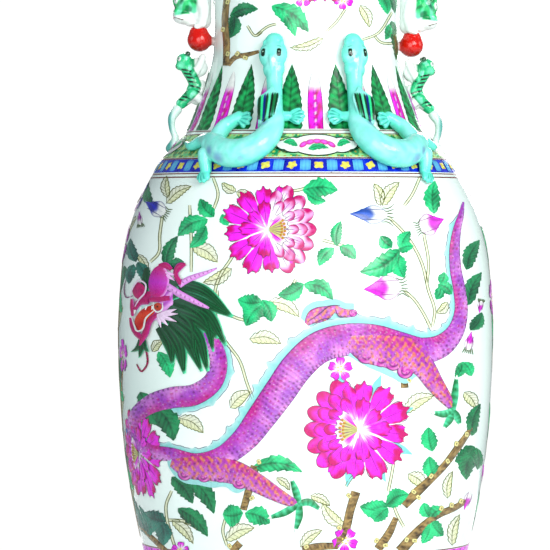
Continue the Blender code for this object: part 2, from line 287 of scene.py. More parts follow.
def make_vessel():
    floor_top, floor_radius, under, recess_radius, axis_gap = 21, 55, FOOT_TOP + 0.3, 60, 0.05
    outside, inside = wall_profile(FOOT_TOP, WAIST, BODY_WALL)
    inside = [(r, z) for r, z in inside if z > floor_top + 1]
    inside += [(floor_radius, floor_top), (axis_gap, floor_top), (axis_gap, under),
               (recess_radius, under)]
    turned("glazed_lower_body", "lower_body", outside + inside)
    outside, inside = wall_profile(WAIST, SHOULDER, BODY_WALL)
    turned("glazed_upper_body", "upper_body", outside + inside)
    outside, inside = wall_profile(SHOULDER, RIM_SEAM, NECK_WALL)
    turned("glazed_neck", "neck", outside + inside)
    lip_height = HEIGHT - LIP
    outside, inside = wall_profile(RIM_SEAM, lip_height, NECK_WALL, 1.5)
    middle = radius(lip_height) - LIP
    lip = [(middle + LIP * math.cos(a), lip_height + LIP * math.sin(a))
           for a in np.linspace(0.15, math.pi - 0.15, 15)]
    turned("glazed_rim", "flared_rim", outside + lip + inside)
    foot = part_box("foot_ring")[1].x / MM
    profile = [(foot - 12.5, FOOT_TOP), (foot - 12.5, 1.4), (foot - 11.6, 0.3), (foot - 10.6, 0),
               (foot - 3, 0), (foot - 1.2, 0.6), (foot - 0.3, 2), (foot, 4.5), (foot, FOOT_TOP)]
    turned("biscuit_foot_ring", "foot_ring", profile, BISCUIT)


# ---------------------------------------------------------------- enamel


def smooth_line(points, count, axes=2):
    """Evenly spaced samples of the smooth curve through rows of (x, y, ...)."""
    points = np.array(points, float)
    steps = np.linalg.norm(np.diff(points[:, :axes], axis=0), axis=1)
    t = np.concatenate([[0], np.cumsum(np.maximum(steps, 1e-6))])
    slopes = np.gradient(points, t,
                         axis=0) if len(t) > 2 else np.repeat((points[1:] - points[:1]) / t[1], 2, 0)
    s = np.linspace(0, t[-1], count)
    i = np.clip(np.searchsorted(t, s, side="right") - 1, 0, len(t) - 2)
    gap = (t[i + 1] - t[i])[:, None]
    f = (s - t[i])[:, None] / gap
    keep, gain = 2 * f**3 - 3 * f**2 + 1, 3 * f**2 - 2 * f**3
    return (points[i] * keep + slopes[i] * gap * (f**3 - 2 * f**2 + f)
            + points[i + 1] * gain + slopes[i + 1] * gap * (f**3 - f**2))


def heading(angle):
    """The unit step towards an angle."""
    return np.array([math.cos(angle), math.sin(angle)])


def trail(line, rows):
    """Even samples along a line, and the unit step along it at each."""
    path = smooth_line(line, rows)
    way = np.gradient(path[:, :2], axis=0)
    return path, way / np.maximum(np.hypot(way[:, :1], way[:, 1:]), 1e-6)


def beside(path, way, offset):
    """The x and y of the points that lie offset to the left of a trail."""
    return path[:, :1] - way[:, 1:] * offset, path[:, 1:2] + way[:, :1] * offset


def line_length(line):
    return np.hypot(*np.diff(line[:, :2], axis=0).T).sum()


def field(middle, seen=True):
    """A stretch of wall to paint on, as a function from (x, y) to azimuth and height, in millimetres.
    If seen is true, x and y lie on an upright plane through the axis, and each point goes to where the
    eye sees it on the wall in front. Otherwise x runs along the wall, and y is the height."""
    def place(x, y):
        if not seen:
            height = np.clip(y, FOOT_TOP, HEIGHT - LIP)
            return middle + x / radius(height), height
        height, across = y, x
        for _ in range(3):
            height = np.clip(height, FOOT_TOP, HEIGHT - LIP)
            near = 1 - np.sqrt(np.maximum(radius(height) ** 2 - across**2, 0)) / EYE_DISTANCE
            height, across = EYE_HEIGHT + (y - EYE_HEIGHT) * near, (x + EYE_ASIDE) * near - EYE_ASIDE
        height = np.clip(height, FOOT_TOP, HEIGHT - LIP)
        share = np.clip(across / radius(height), -1.1, 1.1)
        plain = np.clip(share, -EDGE_SHARE, EDGE_SHARE)
        return middle + np.arcsin(plain) + EDGE_STRETCH * (share - plain), height
    return place


class Paint:
    """The enamel of one colour family: thin raised patches, with a colour at every point."""

    def __init__(self, name):
        self.name, self.points, self.faces, self.colours, self.count = name, [], [], [], 0

    def sheet(self, at, x, y, lift, colour):
        """Adds a patch from grids of places, lifts and colours."""
        x, y, lift = np.broadcast_arrays(x, y, lift)
        azimuth, height = at(x, y)
        rows, columns = x.shape
        grid = on_wall(azimuth, height, lift)
        index = np.arange(rows * columns).reshape(rows, columns) + self.count
        quads = np.stack([index[:-1, :-1], index[:-1, 1:], index[1:, 1:], index[1:, :-1]],
                         -1).reshape(-1, 4)
        normal = np.cross(grid[:-1, 1:] - grid[:-1, :-1], grid[1:, :-1] - grid[:-1, :-1])
        if (normal[..., :2] * grid[:-1, :-1, :2]).sum() < 0:
            quads = quads[:, ::-1]
        self.points.append(grid.reshape(-1, 3))
        self.faces.append(quads)
        self.colours.append(np.broadcast_to(colour, (rows, columns, 3)).reshape(-1, 3))
        self.count += rows * columns

    def build(self):
        points, faces = np.concatenate(self.points), np.concatenate(self.faces)
        colour_points(link_mesh(self.name, points, faces, ENAMEL),
                      np.concatenate(self.colours))


def colour_points(piece, colours):
    attribute = piece.data.color_attributes.new("Col", "FLOAT_COLOR", "POINT")
    fired = PAINT_STRENGTH * np.clip(colours, 0, 1) ** PAINT_DEPTH
    values = np.concatenate([fired, np.ones((len(colours), 1))], 1)
    attribute.data.foreach_set("color", values.astype(np.float32).ravel())


def strip(paint, at, line, colour, level=0.10, columns=3, puff=0.08, step=1.2):
    """A brush stroke along (x, y, width) points. colour may be a function of the share of the length
    and of the place across, from -1 to 1."""
    line = np.array(line, float)
    rows = max(3, int(line_length(line) / step) + 2)
    path, way = trail(line, rows)
    s, t = np.linspace(0, 1, rows)[:, None], np.linspace(-1, 1, columns)[None]
    x, y = beside(path, way, t * np.maximum(path[:, 2:3], 0.05) / 2)
    shade = colour(s, t) if callable(colour) else colour
    paint.sheet(at, x, y, level + puff * (1 - t**2) + 0 * s, shade)


def stroke(paint, at, points, width, colour, level=0.24):
    """A thin line of even width that tapers at its ends."""
    count = len(points)
    widths = [width * (0.45 if i in (0, count - 1) else 1) for i in range(count)]
    strip(paint, at, [(x, y, w) for (x, y), w in zip(points, widths)], colour, level, 3, 0.05, 1.5)


def spear(paint, at, root, tip, widths, colour, level, columns=5, puff=0.4, step=0.7):
    """A straight stroke, with its widths at the root, the middle and the tip."""
    root, tip = np.array(root, float), np.array(tip, float)
    points = (root, root * 0.5 + tip * 0.5, tip)
    line = [(*point, width) for point, width in zip(points, widths)]
    strip(paint, at, line, colour, level, columns, puff, step)


def disc(paint, at, centre, radii, colour, turn=0.0, level=0.15, puff=0.25, rings=6, segments=28,
         wobble=0.0, lobes=5):
    """A round or lobed dab. colour may be a function of the share of the radius and the angle."""
    r = np.linspace(0, 1, rings)[:, None]
    a = np.linspace(0, 2 * np.pi, segments + 1)[None]
    reach = r * (1 - wobble * (0.5 + 0.5 * np.cos(lobes * a)))
    x0, y0 = reach * radii[0] * np.cos(a), reach * radii[1] * np.sin(a)
    x = centre[0] + x0 * math.cos(turn) - y0 * math.sin(turn)
    y = centre[1] + x0 * math.sin(turn) + y0 * math.cos(turn)
    shade = colour(r + 0 * a, a + 0 * r) if callable(colour) else colour
    paint.sheet(at, x, y, level + puff * np.sqrt(1 - (r * 0.98) ** 2) + 0 * a, shade)


def leaf(paint, at, base, tip, width, tone=LEAF, bow=0.10, teeth=6, level=0.16):
    """A toothed leaf with a sunk midrib and ribs that lean towards the tip."""
    base, tip = np.array(base, float), np.array(tip, float)
    run = tip - base
    length = np.hypot(*run)
    along, side = run / length, np.array([-run[1], run[0]]) / length
    rows = max(12, int(length / 0.7))
    s, t = np.linspace(0, 1, rows)[:, None], np.linspace(-1, 1, 13)[None]
    swell = np.sin(np.pi * s**0.72) ** 0.8
    half = width / 2 * swell * (1.06 - 0.26 * ((s * teeth + 0.3) % 1))
    forward = 0.14 * width * np.abs(t) * swell
    offset = bow * length * np.sin(np.pi * s) + t * half
    x = base[0] + along[0] * (s * length + forward) + side[0] * offset
    y = base[1] + along[1] * (s * length + forward) + side[1] * offset
    ribs = 0.5 + 0.5 * np.cos(2 * np.pi * (s * teeth * 1.5 - 1.1 * np.abs(t)))
    midrib = np.exp(-((t / 0.10) ** 2)) + 0 * s
    blot = clouds(x, y, 8) - 0.5
    feather = 0.5 + 0.5 * np.sin(9 * t + 5 * clouds(y, x, 5))
    shaded_half = t * np.sign(bow + 1e-3) < 0
    dark = 0.02 + 0.40 * ribs**2 + 0.20 * shaded_half + 0.6 * midrib + 0.7 * blot + 0.18 * feather
    dark = np.clip(dark + 0.35 * ramp(0.86, 1.0, np.abs(t)), 0, 1)
    lift = level + 0.30 * (1 - np.abs(t) ** 3) * swell - 0.14 * midrib - 0.06 * ribs
    paint.sheet(at, x, y, lift, mix(tone[0], tone[1], dark))


def pale_leaf(paint, at, base, tip, width, bow=0.10):
    """A leaf in thin yellow-green wash with a drawn outline, midrib and ribs."""
    teeth, rows, columns = 7, 12, 5
    base, tip = np.array(base, float), np.array(tip, float)
    run = tip - base
    length = np.hypot(*run)
    along, side = run / length, np.array([-run[1], run[0]]) / length

    def spot(s, t):
        half = width / 2 * math.sin(math.pi * s**0.75) ** 0.85
        forward = s * length + 0.12 * width * abs(t)
        return base + along * forward + side * (bow * length * math.sin(math.pi * s) + t * half)

    grid = np.array([[spot(s, t) for t in np.linspace(-1, 1, columns)]
                     for s in np.linspace(0.02, 1, rows)])
    wash = mix(PALE_LEAF, WHITE, np.broadcast_to(np.linspace(0, 0.8, columns)[None], (rows, columns)))
    paint.sheet(at, grid[..., 0], grid[..., 1], 0.06, wash)
    for hand in (-1, 1):
        edge = [spot(0.02, 0)]
        for tooth in range(1, teeth):
            share = tooth / teeth
            edge += [spot(share, hand), spot(share + 0.01, hand * 0.86)]
        stroke(paint, at, edge + [spot(1, 0)], 0.55, OLIVE, 0.14)
        for rib in range(1, teeth - 1):
            share = rib / teeth
            stroke(paint, at, [spot(share, 0), spot(share + 0.10, hand * 0.8)], 0.38, OLIVE, 0.14)
    stroke(paint, at, [spot(0, 0), spot(0.5, 0), spot(1, 0)], 0.5, OLIVE, 0.15)


def stem(paint, at, points, width=1.6):
    """A stem drawn as two fine lines with a pale wash between them."""
    strip(paint, at, [(x, y, width) for x, y in points], mix(PALE_LEAF, WHITE, 0.4), 0.05, 3, 0.03, 2)
    path, way = trail(points, max(4, len(points) * 3))
    for hand in (-0.5, 0.5):
        stroke(paint, at, np.hstack(beside(path, way, hand * width)).tolist(), 0.5, OLIVE, 0.14)


def branch(paint, at, points, knots):
    """A knotty branch along (x, y, width) points, with pale cut knots."""
    def bark(s, t):
        grain = 0.5 + 0.5 * np.sin(s * 70 + 6 * np.sin(t * 4 + s * 9))
        patch = np.sin(s * 23 + 2 * t) * np.sin(s * 41)
        dark = 0.22 + 0.50 * grain * (t > -0.4) + 0.3 * patch + 0.5 * (np.abs(t) > 0.8)
        return mix(BARK, BARK_DARK, np.clip(dark, 0, 1))

    def cut(r, a):
        return mix(KNOT, BARK_DARK, 0.85 * (r > 0.8) + 0.6 * (r < 0.3))

    strip(paint, at, points, bark, 0.12, 7, 0.35, 0.8)
    for x, y in knots:
        disc(paint, at, (x, y), (2.1, 1.6), cut, x, 0.45, 0.2, 5, 20, 0.2, 4)


def bud(paint, leaves, at, centre, length, width, turn, tone, calyx=True):
    """A closed bud, coloured on the side that it opens to, with fine calyx hairs behind it."""
    middle, ahead = np.array(centre), heading(turn)
    side = np.array([-ahead[1], ahead[0]])

    def shade(s, t):
        streaks = mix(tone, tone * 0.6, 0.5 + 0.5 * np.sin(7 * t + 9 * s))
        body = mix(WHITE, streaks, ramp(0.34, 0.50, s + 0.08 * np.cos(3 * t)))
        return mix(body, tone * 0.4, ramp(0.86, 0.97, np.abs(t) + 0 * s) * 0.7)

    outline = [(-0.46, 0.35), (-0.25, 0.85), (0.0, 1.0), (0.22, 0.62), (0.42, 0.30), (0.62, 0.03)]
    strip(paint, at, [(*(middle + ahead * length * s), width * w) for s, w in outline], shade, 0.14,
          11, 0.4)
    for share in (0.45, 0.0, -0.45):
        inner = middle + side * share * width * 0.6
        crease = [inner + ahead * length * reach for reach in (-0.4, 0.1, 0.36)]
        stroke(paint, at, crease, 0.45, tone * 0.4, 0.5)
    if calyx:
        start = middle - ahead * length * 0.32
        for lean in (-0.95, -0.55, -0.2, 0.2, 0.55, 0.95):
            way = side * lean - ahead
            hair = [start + side * lean * width * 0.4, start + way * length * 0.16 + side * lean,
                    start + way * length * 0.34]
            stroke(leaves, at, hair, 0.7, mix(OLIVE, LEAF[1], 0.3), 0.3)


def petal(paint, at, centre, angle, inner, outer, spread, tones, notches, level, depth=0.12):
    """A fan-shaped petal between two radii. tones are its colours from the base to the edge."""
    rows, columns = 16, 17
    s, t = np.linspace(0, 1, rows)[:, None], np.linspace(-1, 1, columns)[None]
    fan = spread * (0.45 + 0.55 * np.sin(0.5 * np.pi * np.minimum(s * 1.25, 1)))
    edge = 1 - depth * np.abs(np.sin(notches * np.pi * (t + 1) / 2 + np.pi / 2)) - 0.20 * np.abs(t) ** 3
    reach = inner + (outer - inner) * s * (edge * s + 1 * (1 - s))
    a = angle + fan * t
    x, y = centre[0] + reach * np.cos(a), centre[1] + reach * np.sin(a)
    wash = np.clip(s + 0.22 * (clouds(x, y, 7) - 0.5) * 2 + 0.10 * np.abs(t), 0, 1)
    places = np.linspace(0, 1, len(tones))
    shade = np.stack([np.interp(wash, places, channel) for channel in np.transpose(tones)], -1)
    lift = level + 0.25 * s * (1 - t**2) + 0.10 * s
    paint.sheet(at, x, y, lift, shade)
    rim = np.stack([x[-1], y[-1]], 1)[::2].tolist()
    stroke(paint, at, rim, 0.5, VIOLET_LINE, level + 0.16)
    mid = np.stack([x[::4, columns // 2], y[::4, columns // 2]], 1).tolist()
    stroke(paint, at, mid[1:], 0.4, mix(VIOLET_LINE, MAGENTA, 0.3), level + 0.36)


# ---------------------------------------------------------------- flowers


def peony(petals, leaves, at, centre, size, hand, ruffle, sepals=False):
    """An open peony with its big petals on one side and rows of small ruffled ones on the other."""
    def toward(degrees):
        return math.radians(degrees if hand > 0 else 180 - degrees)

    middle = np.array(centre)
    rose = (WHITE, PETAL, MAGENTA, MAGENTA, MAGENTA, CRIMSON)
    if sepals:
        for degrees in (70, 112, 158, 205, 243, 282):
            way = heading(toward(degrees)) * size
            tip, root = middle + way * 1.06, middle + way * 0.55
            strip(leaves, at, [(*root, 2), (*(root * 0.4 + tip * 0.6), size * 0.15), (*tip, 0.6)],
                  CYAN, 0.10)
    for i, degrees in enumerate(range(66, 312, 30)):
        far = size * (1.0, 0.90, 0.96)[i % 3]
        petal(petals, at, centre, toward(degrees), size * 0.16, far, 0.25, rose, 3,
              0.16 + 0.07 * (i % 2))
    for row, reach in enumerate((1.0, 0.82, 0.64)):
        count = 7 - row
        for i in range(count):
            degrees = -62 + 124 * (i + 0.5 * (row % 2)) / (count - 1)
            petal(petals, at, centre, toward(degrees), size * 0.22, size * reach, 0.19, ruffle, 1,
                  0.24 + 0.12 * row, 0.05)
    for i, degrees in enumerate((98, 138, 178, 220, 262)):
        petal(petals, at, centre, toward(degrees), size * 0.03, size * (0.60, 0.52)[i % 2], 0.30,
              (WHITE, PINK, PETAL, MAGENTA, MAGENTA, CRIMSON), 3, 0.55 + 0.06 * (i % 2))
    for i, degrees in enumerate((-40, -13, 14, 41)):
        petal(petals, at, centre, toward(degrees), size * 0.06, size * 0.46, 0.27,
              (CRIMSON, MAGENTA, PETAL, PINK, WHITE), 2, 0.66)
    for degrees in range(-30, 31, 6):
        way = heading(toward(degrees)) * size
        end = middle + way * (0.30 + 0.03 * (degrees % 4))
        tone = mix(KNOT, OLIVE, 0.25 + 0.4 * (degrees % 12 == 0))
        spear(leaves, at, middle + way * 0.04, end, (0.6, 1.3, 1.5), tone, 0.95, 3, 0.08, 1.2)
        disc(leaves, at, end, (0.9, 0.9), OCHRE, level=1.05, puff=0.2, rings=3, segments=8)


def blossom(petals, at, centre, size, turn):
    """A small five-petalled blossom."""
    fifth = 2 * math.pi / 5
    tones = (WHITE, PINK, MAGENTA, MAGENTA * 0.8)
    for i in range(5):
        petal(petals, at, centre, turn + i * fifth, size * 0.06, size, 0.52, tones, 2,
              0.2 + 0.04 * (i % 2))
    for i in range(5):
        spot = np.array(centre) + size * 0.22 * heading(i * fifth)
        disc(petals, at, spot, (0.6, 0.6), YELLOW, level=0.6, puff=0.2, rings=3, segments=8)


def butterfly(petals, stems, at, centre, size, turn):
    """A butterfly seen from above, as painted between the scenes."""
    middle, ahead = np.array(centre), heading(turn) * size
    for hand in (-1, 1):
        for lean, reach, tone in ((38, 1.0, BLUE), (142, 0.72, MAGENTA)):
            angle = turn + hand * math.radians(lean)
            tones = (YELLOW, WHITE, PINK, tone, tone)
            petal(petals, at, centre, angle, size * 0.08, size * reach, 0.42, tones, 3, 0.2)
        way = heading(turn + hand * 0.35) * size
        start = middle + way * 0.25
        stroke(stems, at, [start, start + way * 0.3, start + way * 0.55 + hand], 0.4, UMBER, 0.4)
    body = [(*(middle - ahead * 0.45), 0.6), (*centre, size * 0.13), (*(middle + ahead * 0.3), 1)]
    strip(stems, at, body, UMBER, 0.5, 5, 0.4)


# ---------------------------------------------------------------- dragon


def hide(paint, at, line, level=0.30, warm=0.0):
    """Scaly skin along (x, y, width) points, redder and more orange if warm. Its back lies to the left
    of the line."""
    scale_length, scale_width, grid = 2.9, 2.8, 0.6
    line = np.array(line, float)
    length = line_length(line)
    rows, columns = int(length / grid) + 4, int(line[:, 2].max() / grid) + 5
    path, way = trail(line, rows)
    t = np.linspace(-1, 1, columns)[None]
    half = np.maximum(path[:, 2:3], grid) / 2
    x, y = beside(path, way, t * half)
    along, across = np.linspace(0, length, rows)[:, None] / scale_length, t * half / scale_width
    row = np.floor(along)
    column = np.floor(across + 0.5 * (row % 2))
    u, v = (across + 0.5 * (row % 2)) % 1 - 0.5, along - row
    arc = np.exp(-(((np.hypot(u, v * 0.9) - 0.60) / 0.12) ** 2))
    chance = np.abs(np.sin(row * 12.99 + column * 78.23) * 437.5) % 1  # differs from scale to scale
    spot = np.hypot(u - 0.25 * (chance - 0.5), v - 0.32 - 0.3 * (chance * 7 % 1 - 0.5))
    spot /= 0.14 + 0.12 * (chance * 3 % 1)
    dot = np.exp(-(spot**2)) * ramp(0.15, 0.4, clouds(y * 1.7, x * 1.7, 9)) * (chance > 0.12)
    patch = clouds(x, y, 10)
    skin = mix(SCALE, SCALE_LIGHT, np.clip(0.5 * patch - 0.55 * t - 0.1, 0, 0.8))
    skin = mix(skin, SCALE_BLUE, np.clip(0.5 * (1 - patch) - 0.1, 0, 0.6))
    skin = mix(skin, CRIMSON, np.clip(0.8 * ramp(-0.1, 0.9, t) * clouds(x + 40, y, 15) + 0.15 * warm,
                                      0, 0.65))
    skin = mix(skin, mix(ORANGE, YELLOW, 0.35),
               np.clip(3.0 * warm * (clouds(x * 2, y * 2 - 30, 5) - 0.42), 0, 0.8))
    skin = mix(skin, mix(SCALE_DARK, CRIMSON, 0.7 * (chance > 0.6)),
               np.clip(0.24 * arc + 0.9 * dot, 0, 0.9))
    fleck = np.hypot(u + 0.8 * (chance * 5 % 1) - 0.4, v - 0.3 - 0.6 * (chance * 11 % 1))
    skin = mix(skin, WHITE, 0.45 * np.exp(-((fleck / 0.13) ** 2)) * (chance > 0.4))
    ticks = ramp(-0.70, -0.80, t) * ramp(0.1, 0.7, np.cos(2 * np.pi * along))
    skin = mix(skin, VIOLET_LINE, 0.7 * ticks)
    skin = mix(skin, VIOLET_LINE, ramp(0.93, 0.98, np.abs(t) + 0 * x) * (0.5 + 0.5 * (t > 0)))
    lift = level + 0.55 * np.sqrt(np.maximum(1 - t**2, 0)) * np.minimum(half / 6,
                                                                        1) + 0.12 * arc - 0.06 * dot
    paint.sheet(at, x, y, lift, skin)


def fringe(paint, at, line, reach):
    """The pale frill along a dragon's back, outside the left edge of (x, y, width) points."""
    level, spike_gap = 0.10, 17
    line = np.array(line, float)
    length = line_length(line)
    rows = int(length / 0.8) + 4
    path, way = trail(line, rows)
    d, t = np.linspace(0, length, rows)[:, None], np.linspace(0, 1, 6)[None]
    frill = 0.78 + 0.12 * np.abs(np.sin(d / 1.9)) + 0.08 * np.sin(d / 11)
    frill = frill + 0.55 * np.maximum(1 - np.abs((d % spike_gap) - 8) / 2.4, 0)
    frill = frill * np.minimum(1, np.minimum(d, length - d) / 9) * np.clip(path[:, 2:3] / 15, 0.6, 1.1)
    offset = path[:, 2:3] / 2 - 1 + (reach * frill + 1) * t
    x, y = beside(path, way, offset)
    paint.sheet(at, x, y, level + 0.12 * (1 - t), mix(CYAN, CYAN_PALE, t**2 * 0.75 + 0 * d))
    rim = np.stack([x[:, -1], y[:, -1]], 1)[::2]
    for start in range(0, len(rim) - 3, 9):
        stroke(paint, at, rim[start:start + 8].tolist(), 0.36, mix(OLIVE, SCALE_BLUE, 0.4), level + 0.1)


def claw(paint, at, foot, toes):
    """A green foot: toes from the same point, each through (x, y) points, with a pale nail."""
    def toe_colour(s, t):
        return mix(MANE, MINT, np.clip(0.35 - 0.5 * t + 0.3 * np.sin(s * 26), 0, 1))

    for toe in toes:
        points = [foot] + list(toe)
        strip(paint, at, [(x, y, w) for (x, y), w in zip(points, (3.8, 4.6, 2.4))], toe_colour, 0.5, 7,
              0.5)
        tip, run = np.array(points[-1]), np.subtract(points[-1], points[-2])
        way = run / np.hypot(*run)
        nail = [(*(tip - way), 1.8), (*(tip + way * 1.2), 1.4), (*(tip + way * 2.6), 0.3)]
        strip(paint, at, nail, WHITE, 0.55, 5, 0.4, 0.6)


def lobe(paint, at, centre, size, turn):
    """A curled lock of scales at a joint, rimmed in violet."""
    def shade(r, a):
        curl = 0.5 + 0.5 * np.sin(3 * a + 7 * r)
        body = mix(mix(SCALE, CRIMSON, 0.4), mix(SCALE_LIGHT, ORANGE, 0.25), 0.7 * curl)
        ring = np.exp(-(((r - 0.48) / 0.09) ** 2)) * (np.cos(a - turn) > -0.2)
        return mix(body, VIOLET_LINE, np.clip(ramp(0.84, 0.96, r) + 0.85 * ring, 0, 1))
    disc(paint, at, centre, (size, size * 0.9), shade, 0, 0.62, 0.5, 12, 40)


BODY_LINE = [
    (-64, 293.5, 8), (-58, 285, 10.5), (-55, 275, 11), (-58, 263.5, 12.5), (-69.5, 254.5, 13.5),
    (-86, 252, 13.5), (-100, 247, 12), (-109, 238, 9), (-109.5, 228, 8), (-100, 219, 9), (-85, 216, 9),
    (-69, 212, 10), (-53, 215, 13), (-39.5, 225, 16), (-27.5, 240.5, 18.5), (-16, 256.5, 20),
    (-5, 272, 20.5), (8.5, 284, 20.5), (25.5, 289, 20.5), (43.5, 288.5, 20.5), (60, 284, 20),
    (74.5, 282, 17), (86.5, 285.5, 14.5), (95, 294.5, 11), (98.5, 306.5, 8.6), (97.5, 320.5, 7.8),
    (95, 334.5, 7.4), (94.5, 347.5, 6.6), (96, 359, 5.2), (98.5, 368.5, 3.6), (100, 376.5, 1.2),
]
THIGH = [(27.5, 288.5, 9), (36, 284.5, 17), (50.5, 282, 21), (65, 279.5, 21), (74, 272.5, 15),
         (81.5, 261.5, 11.5), (88.5, 252, 8), (92.5, 246.5, 4.5)]
SHOULDER_LEG = [(-85, 211, 5), (-76, 208.5, 13), (-59.5, 207.5, 16), (-44, 204.5, 15),
                (-31.5, 198.5, 12.5), (-19.5, 191.5, 9.5), (-10, 186.5, 6.5), (-4, 184, 3.6)]
FORE_CLAWS = (-4, 185), [[(-6, 192.5), (-8.5, 199.5)], [(2, 186), (8.5, 182)],
                         [(-13, 179.5), (-21.5, 176.5)], [(-4, 177), (-6, 169)]]
HIND_CLAWS = (93, 244), [[(88, 242), (81.5, 242.5)], [(91, 238), (88, 233.5)], [(96, 240), (97.5, 236)],
                         [(94.5, 253.5), (95.5, 264)]]


def dragon_body(paint, frills, claws, at):
    fringe(frills, at, BODY_LINE[:-1], 4.6)
    hide(paint, at, BODY_LINE)
    # The flame-shaped tuft on its back.
    tuft = [(0.5, 299, 3), (5, 303.5, 9), (12.5, 306, 9), (18.5, 308.5, 5), (24, 306, 5.5),
            (31, 306, 4.5)]
    strip(frills, at, [(x, y + 0.5, w + 7) for x, y, w in tuft], mix(CYAN, CYAN_PALE, 0.2), 0.08, 5,
          0.05)
    hide(paint, at, tuft, 0.35, 0.9)
    lobe(paint, at, (30, 306), 2.6, 1)
    for points in ([(1.5, 300.5), (8, 305), (15.5, 310.5), (22, 311)],
                   [(4, 299), (10.5, 302), (16, 303)], [(18.5, 309), (21.5, 303.5), (25.5, 304)]):
        stroke(paint, at, points, 0.6, VIOLET_LINE, 1.0)
    for leg, lobes, outline, (foot, toes) in (
        (THIGH, [((38.5, 279.5), 6.5, 4), ((48, 277), 6.0, 4.4), ((55.5, 274.5), 5.6, 4.6),
                 ((63, 269), 5.2, 4.4)],
         [(27, 294.5), (24, 288.5), (26.5, 282), (32.5, 278), (40.5, 273.5), (48.5, 270), (57, 266),
          (63, 263), (69, 267.5)],
         HIND_CLAWS),
        (SHOULDER_LEG, [((-76, 204), 4.8, 4), ((-64, 202.5), 4.4, 4.2), ((-53.5, 202.5), 4.6, 4.6),
                        ((-41.5, 198.5), 4.8, 4.4)],
         [(-81, 216), (-85.5, 212), (-83.5, 206.5), (-76, 200), (-67, 198.5), (-59.5, 197),
          (-50.5, 197.5), (-43, 193.5), (-36.5, 197.5)],
         FORE_CLAWS),
    ):
        strip(frills, at, [(x, y, 3.6) for x, y in outline], mix(CYAN, CYAN_PALE, 0.3), 0.55, 3, 0.05)
        claw(claws, at, foot, toes)
        hide(paint, at, leg, 0.62, 0.7)
        for centre, size, turn in lobes:
            lobe(paint, at, centre, size, turn)


LOCKS = [
    ((-87.5, 325.5), (-65.5, 320.5), (-46, 303.5), 7), ((-86, 319.5), (-64.5, 312.5), (-46.5, 304), 7),
    ((-86, 314.5), (-63, 305.5), (-50, 285.5), 8.5), ((-87.5, 309), (-67, 300.5), (-55, 290), 8.5),
    ((-88.5, 306.5), (-69.5, 292.5), (-61.5, 269), 9), ((-89, 303), (-74.5, 289), (-65.5, 269), 9),
    ((-90.5, 300.5), (-80.5, 285.5), (-76.5, 267.5), 8.5),
    ((-92.5, 297), (-85.5, 285.5), (-84, 273.5), 7), ((-85, 316), (-64, 303), (-58, 281.5), 8.5),
    ((-88.5, 310.5), (-73.5, 300.5), (-69.5, 278.5), 9),
]


def lock_colour(s, t):
    combed = 0.5 + 0.5 * np.sin(t * 13 + s * 4)
    strands = mix(mix(MANE_DARK, BLACK, 0.35 * combed), MANE,
                  np.clip(1.1 * combed**2 * (0.35 + 0.65 * s), 0, 1))
    return mix(strands, MINT,
               np.clip(ramp(0.72, 0.96, np.abs(t)) * ramp(0.10, 0.8, s) + ramp(0.93, 1.0, s), 0, 0.95))


PLUM = mix(CRIMSON, SCALE_DARK, 0.25)


def face_colour(s, t):
    spots = 0.5 + 0.5 * np.sin(s * 31) * np.cos(t * 5)
    skin = mix(PLUM, CRIMSON, 0.8 * spots)
    return mix(skin, SCALE, np.clip(ramp(0.7, 1.0, np.abs(t)) * 0.6 + 0 * s, 0, 0.9))


def horn_colour(s, t):
    dots = np.clip(np.sin(s * 60) * 2 - 1 - 2 * np.abs(t), 0, 0.9)
    return mix(mix(SCALE_LIGHT, SCALE, np.abs(t) * 0.5 + 0 * s), SCALE_DARK, dots)


def crest_colour(r, a):
    body = mix(mix(MAGENTA, SCALE_DARK, 0.35), CRIMSON, np.clip(np.abs(np.sin(a)) * r * 1.2, 0, 1))
    grain = 0.5 + 0.5 * np.sin(23 * r + 7 * np.sin(3 * a))
    return mix(mix(body, SCALE, 0.3 * grain), SCALE_LIGHT,
               ramp(0.80, 1.0, r) * (np.cos(a) > 0.35) * 0.9)


def dragon_head(paint, manes, frills, at):
    """The head in profile, from the back to the front."""
    for root, middle, tip, width in LOCKS:
        strip(manes, at, [(*root, width * 0.8), (*middle, width * 1.15), (*tip, 2.0)], lock_colour,
              0.55, 13, 0.6)
    dragon_cheek(paint, manes, frills, at)
    dragon_snout(paint, frills, at)
    dragon_whiskers(paint, manes, at)


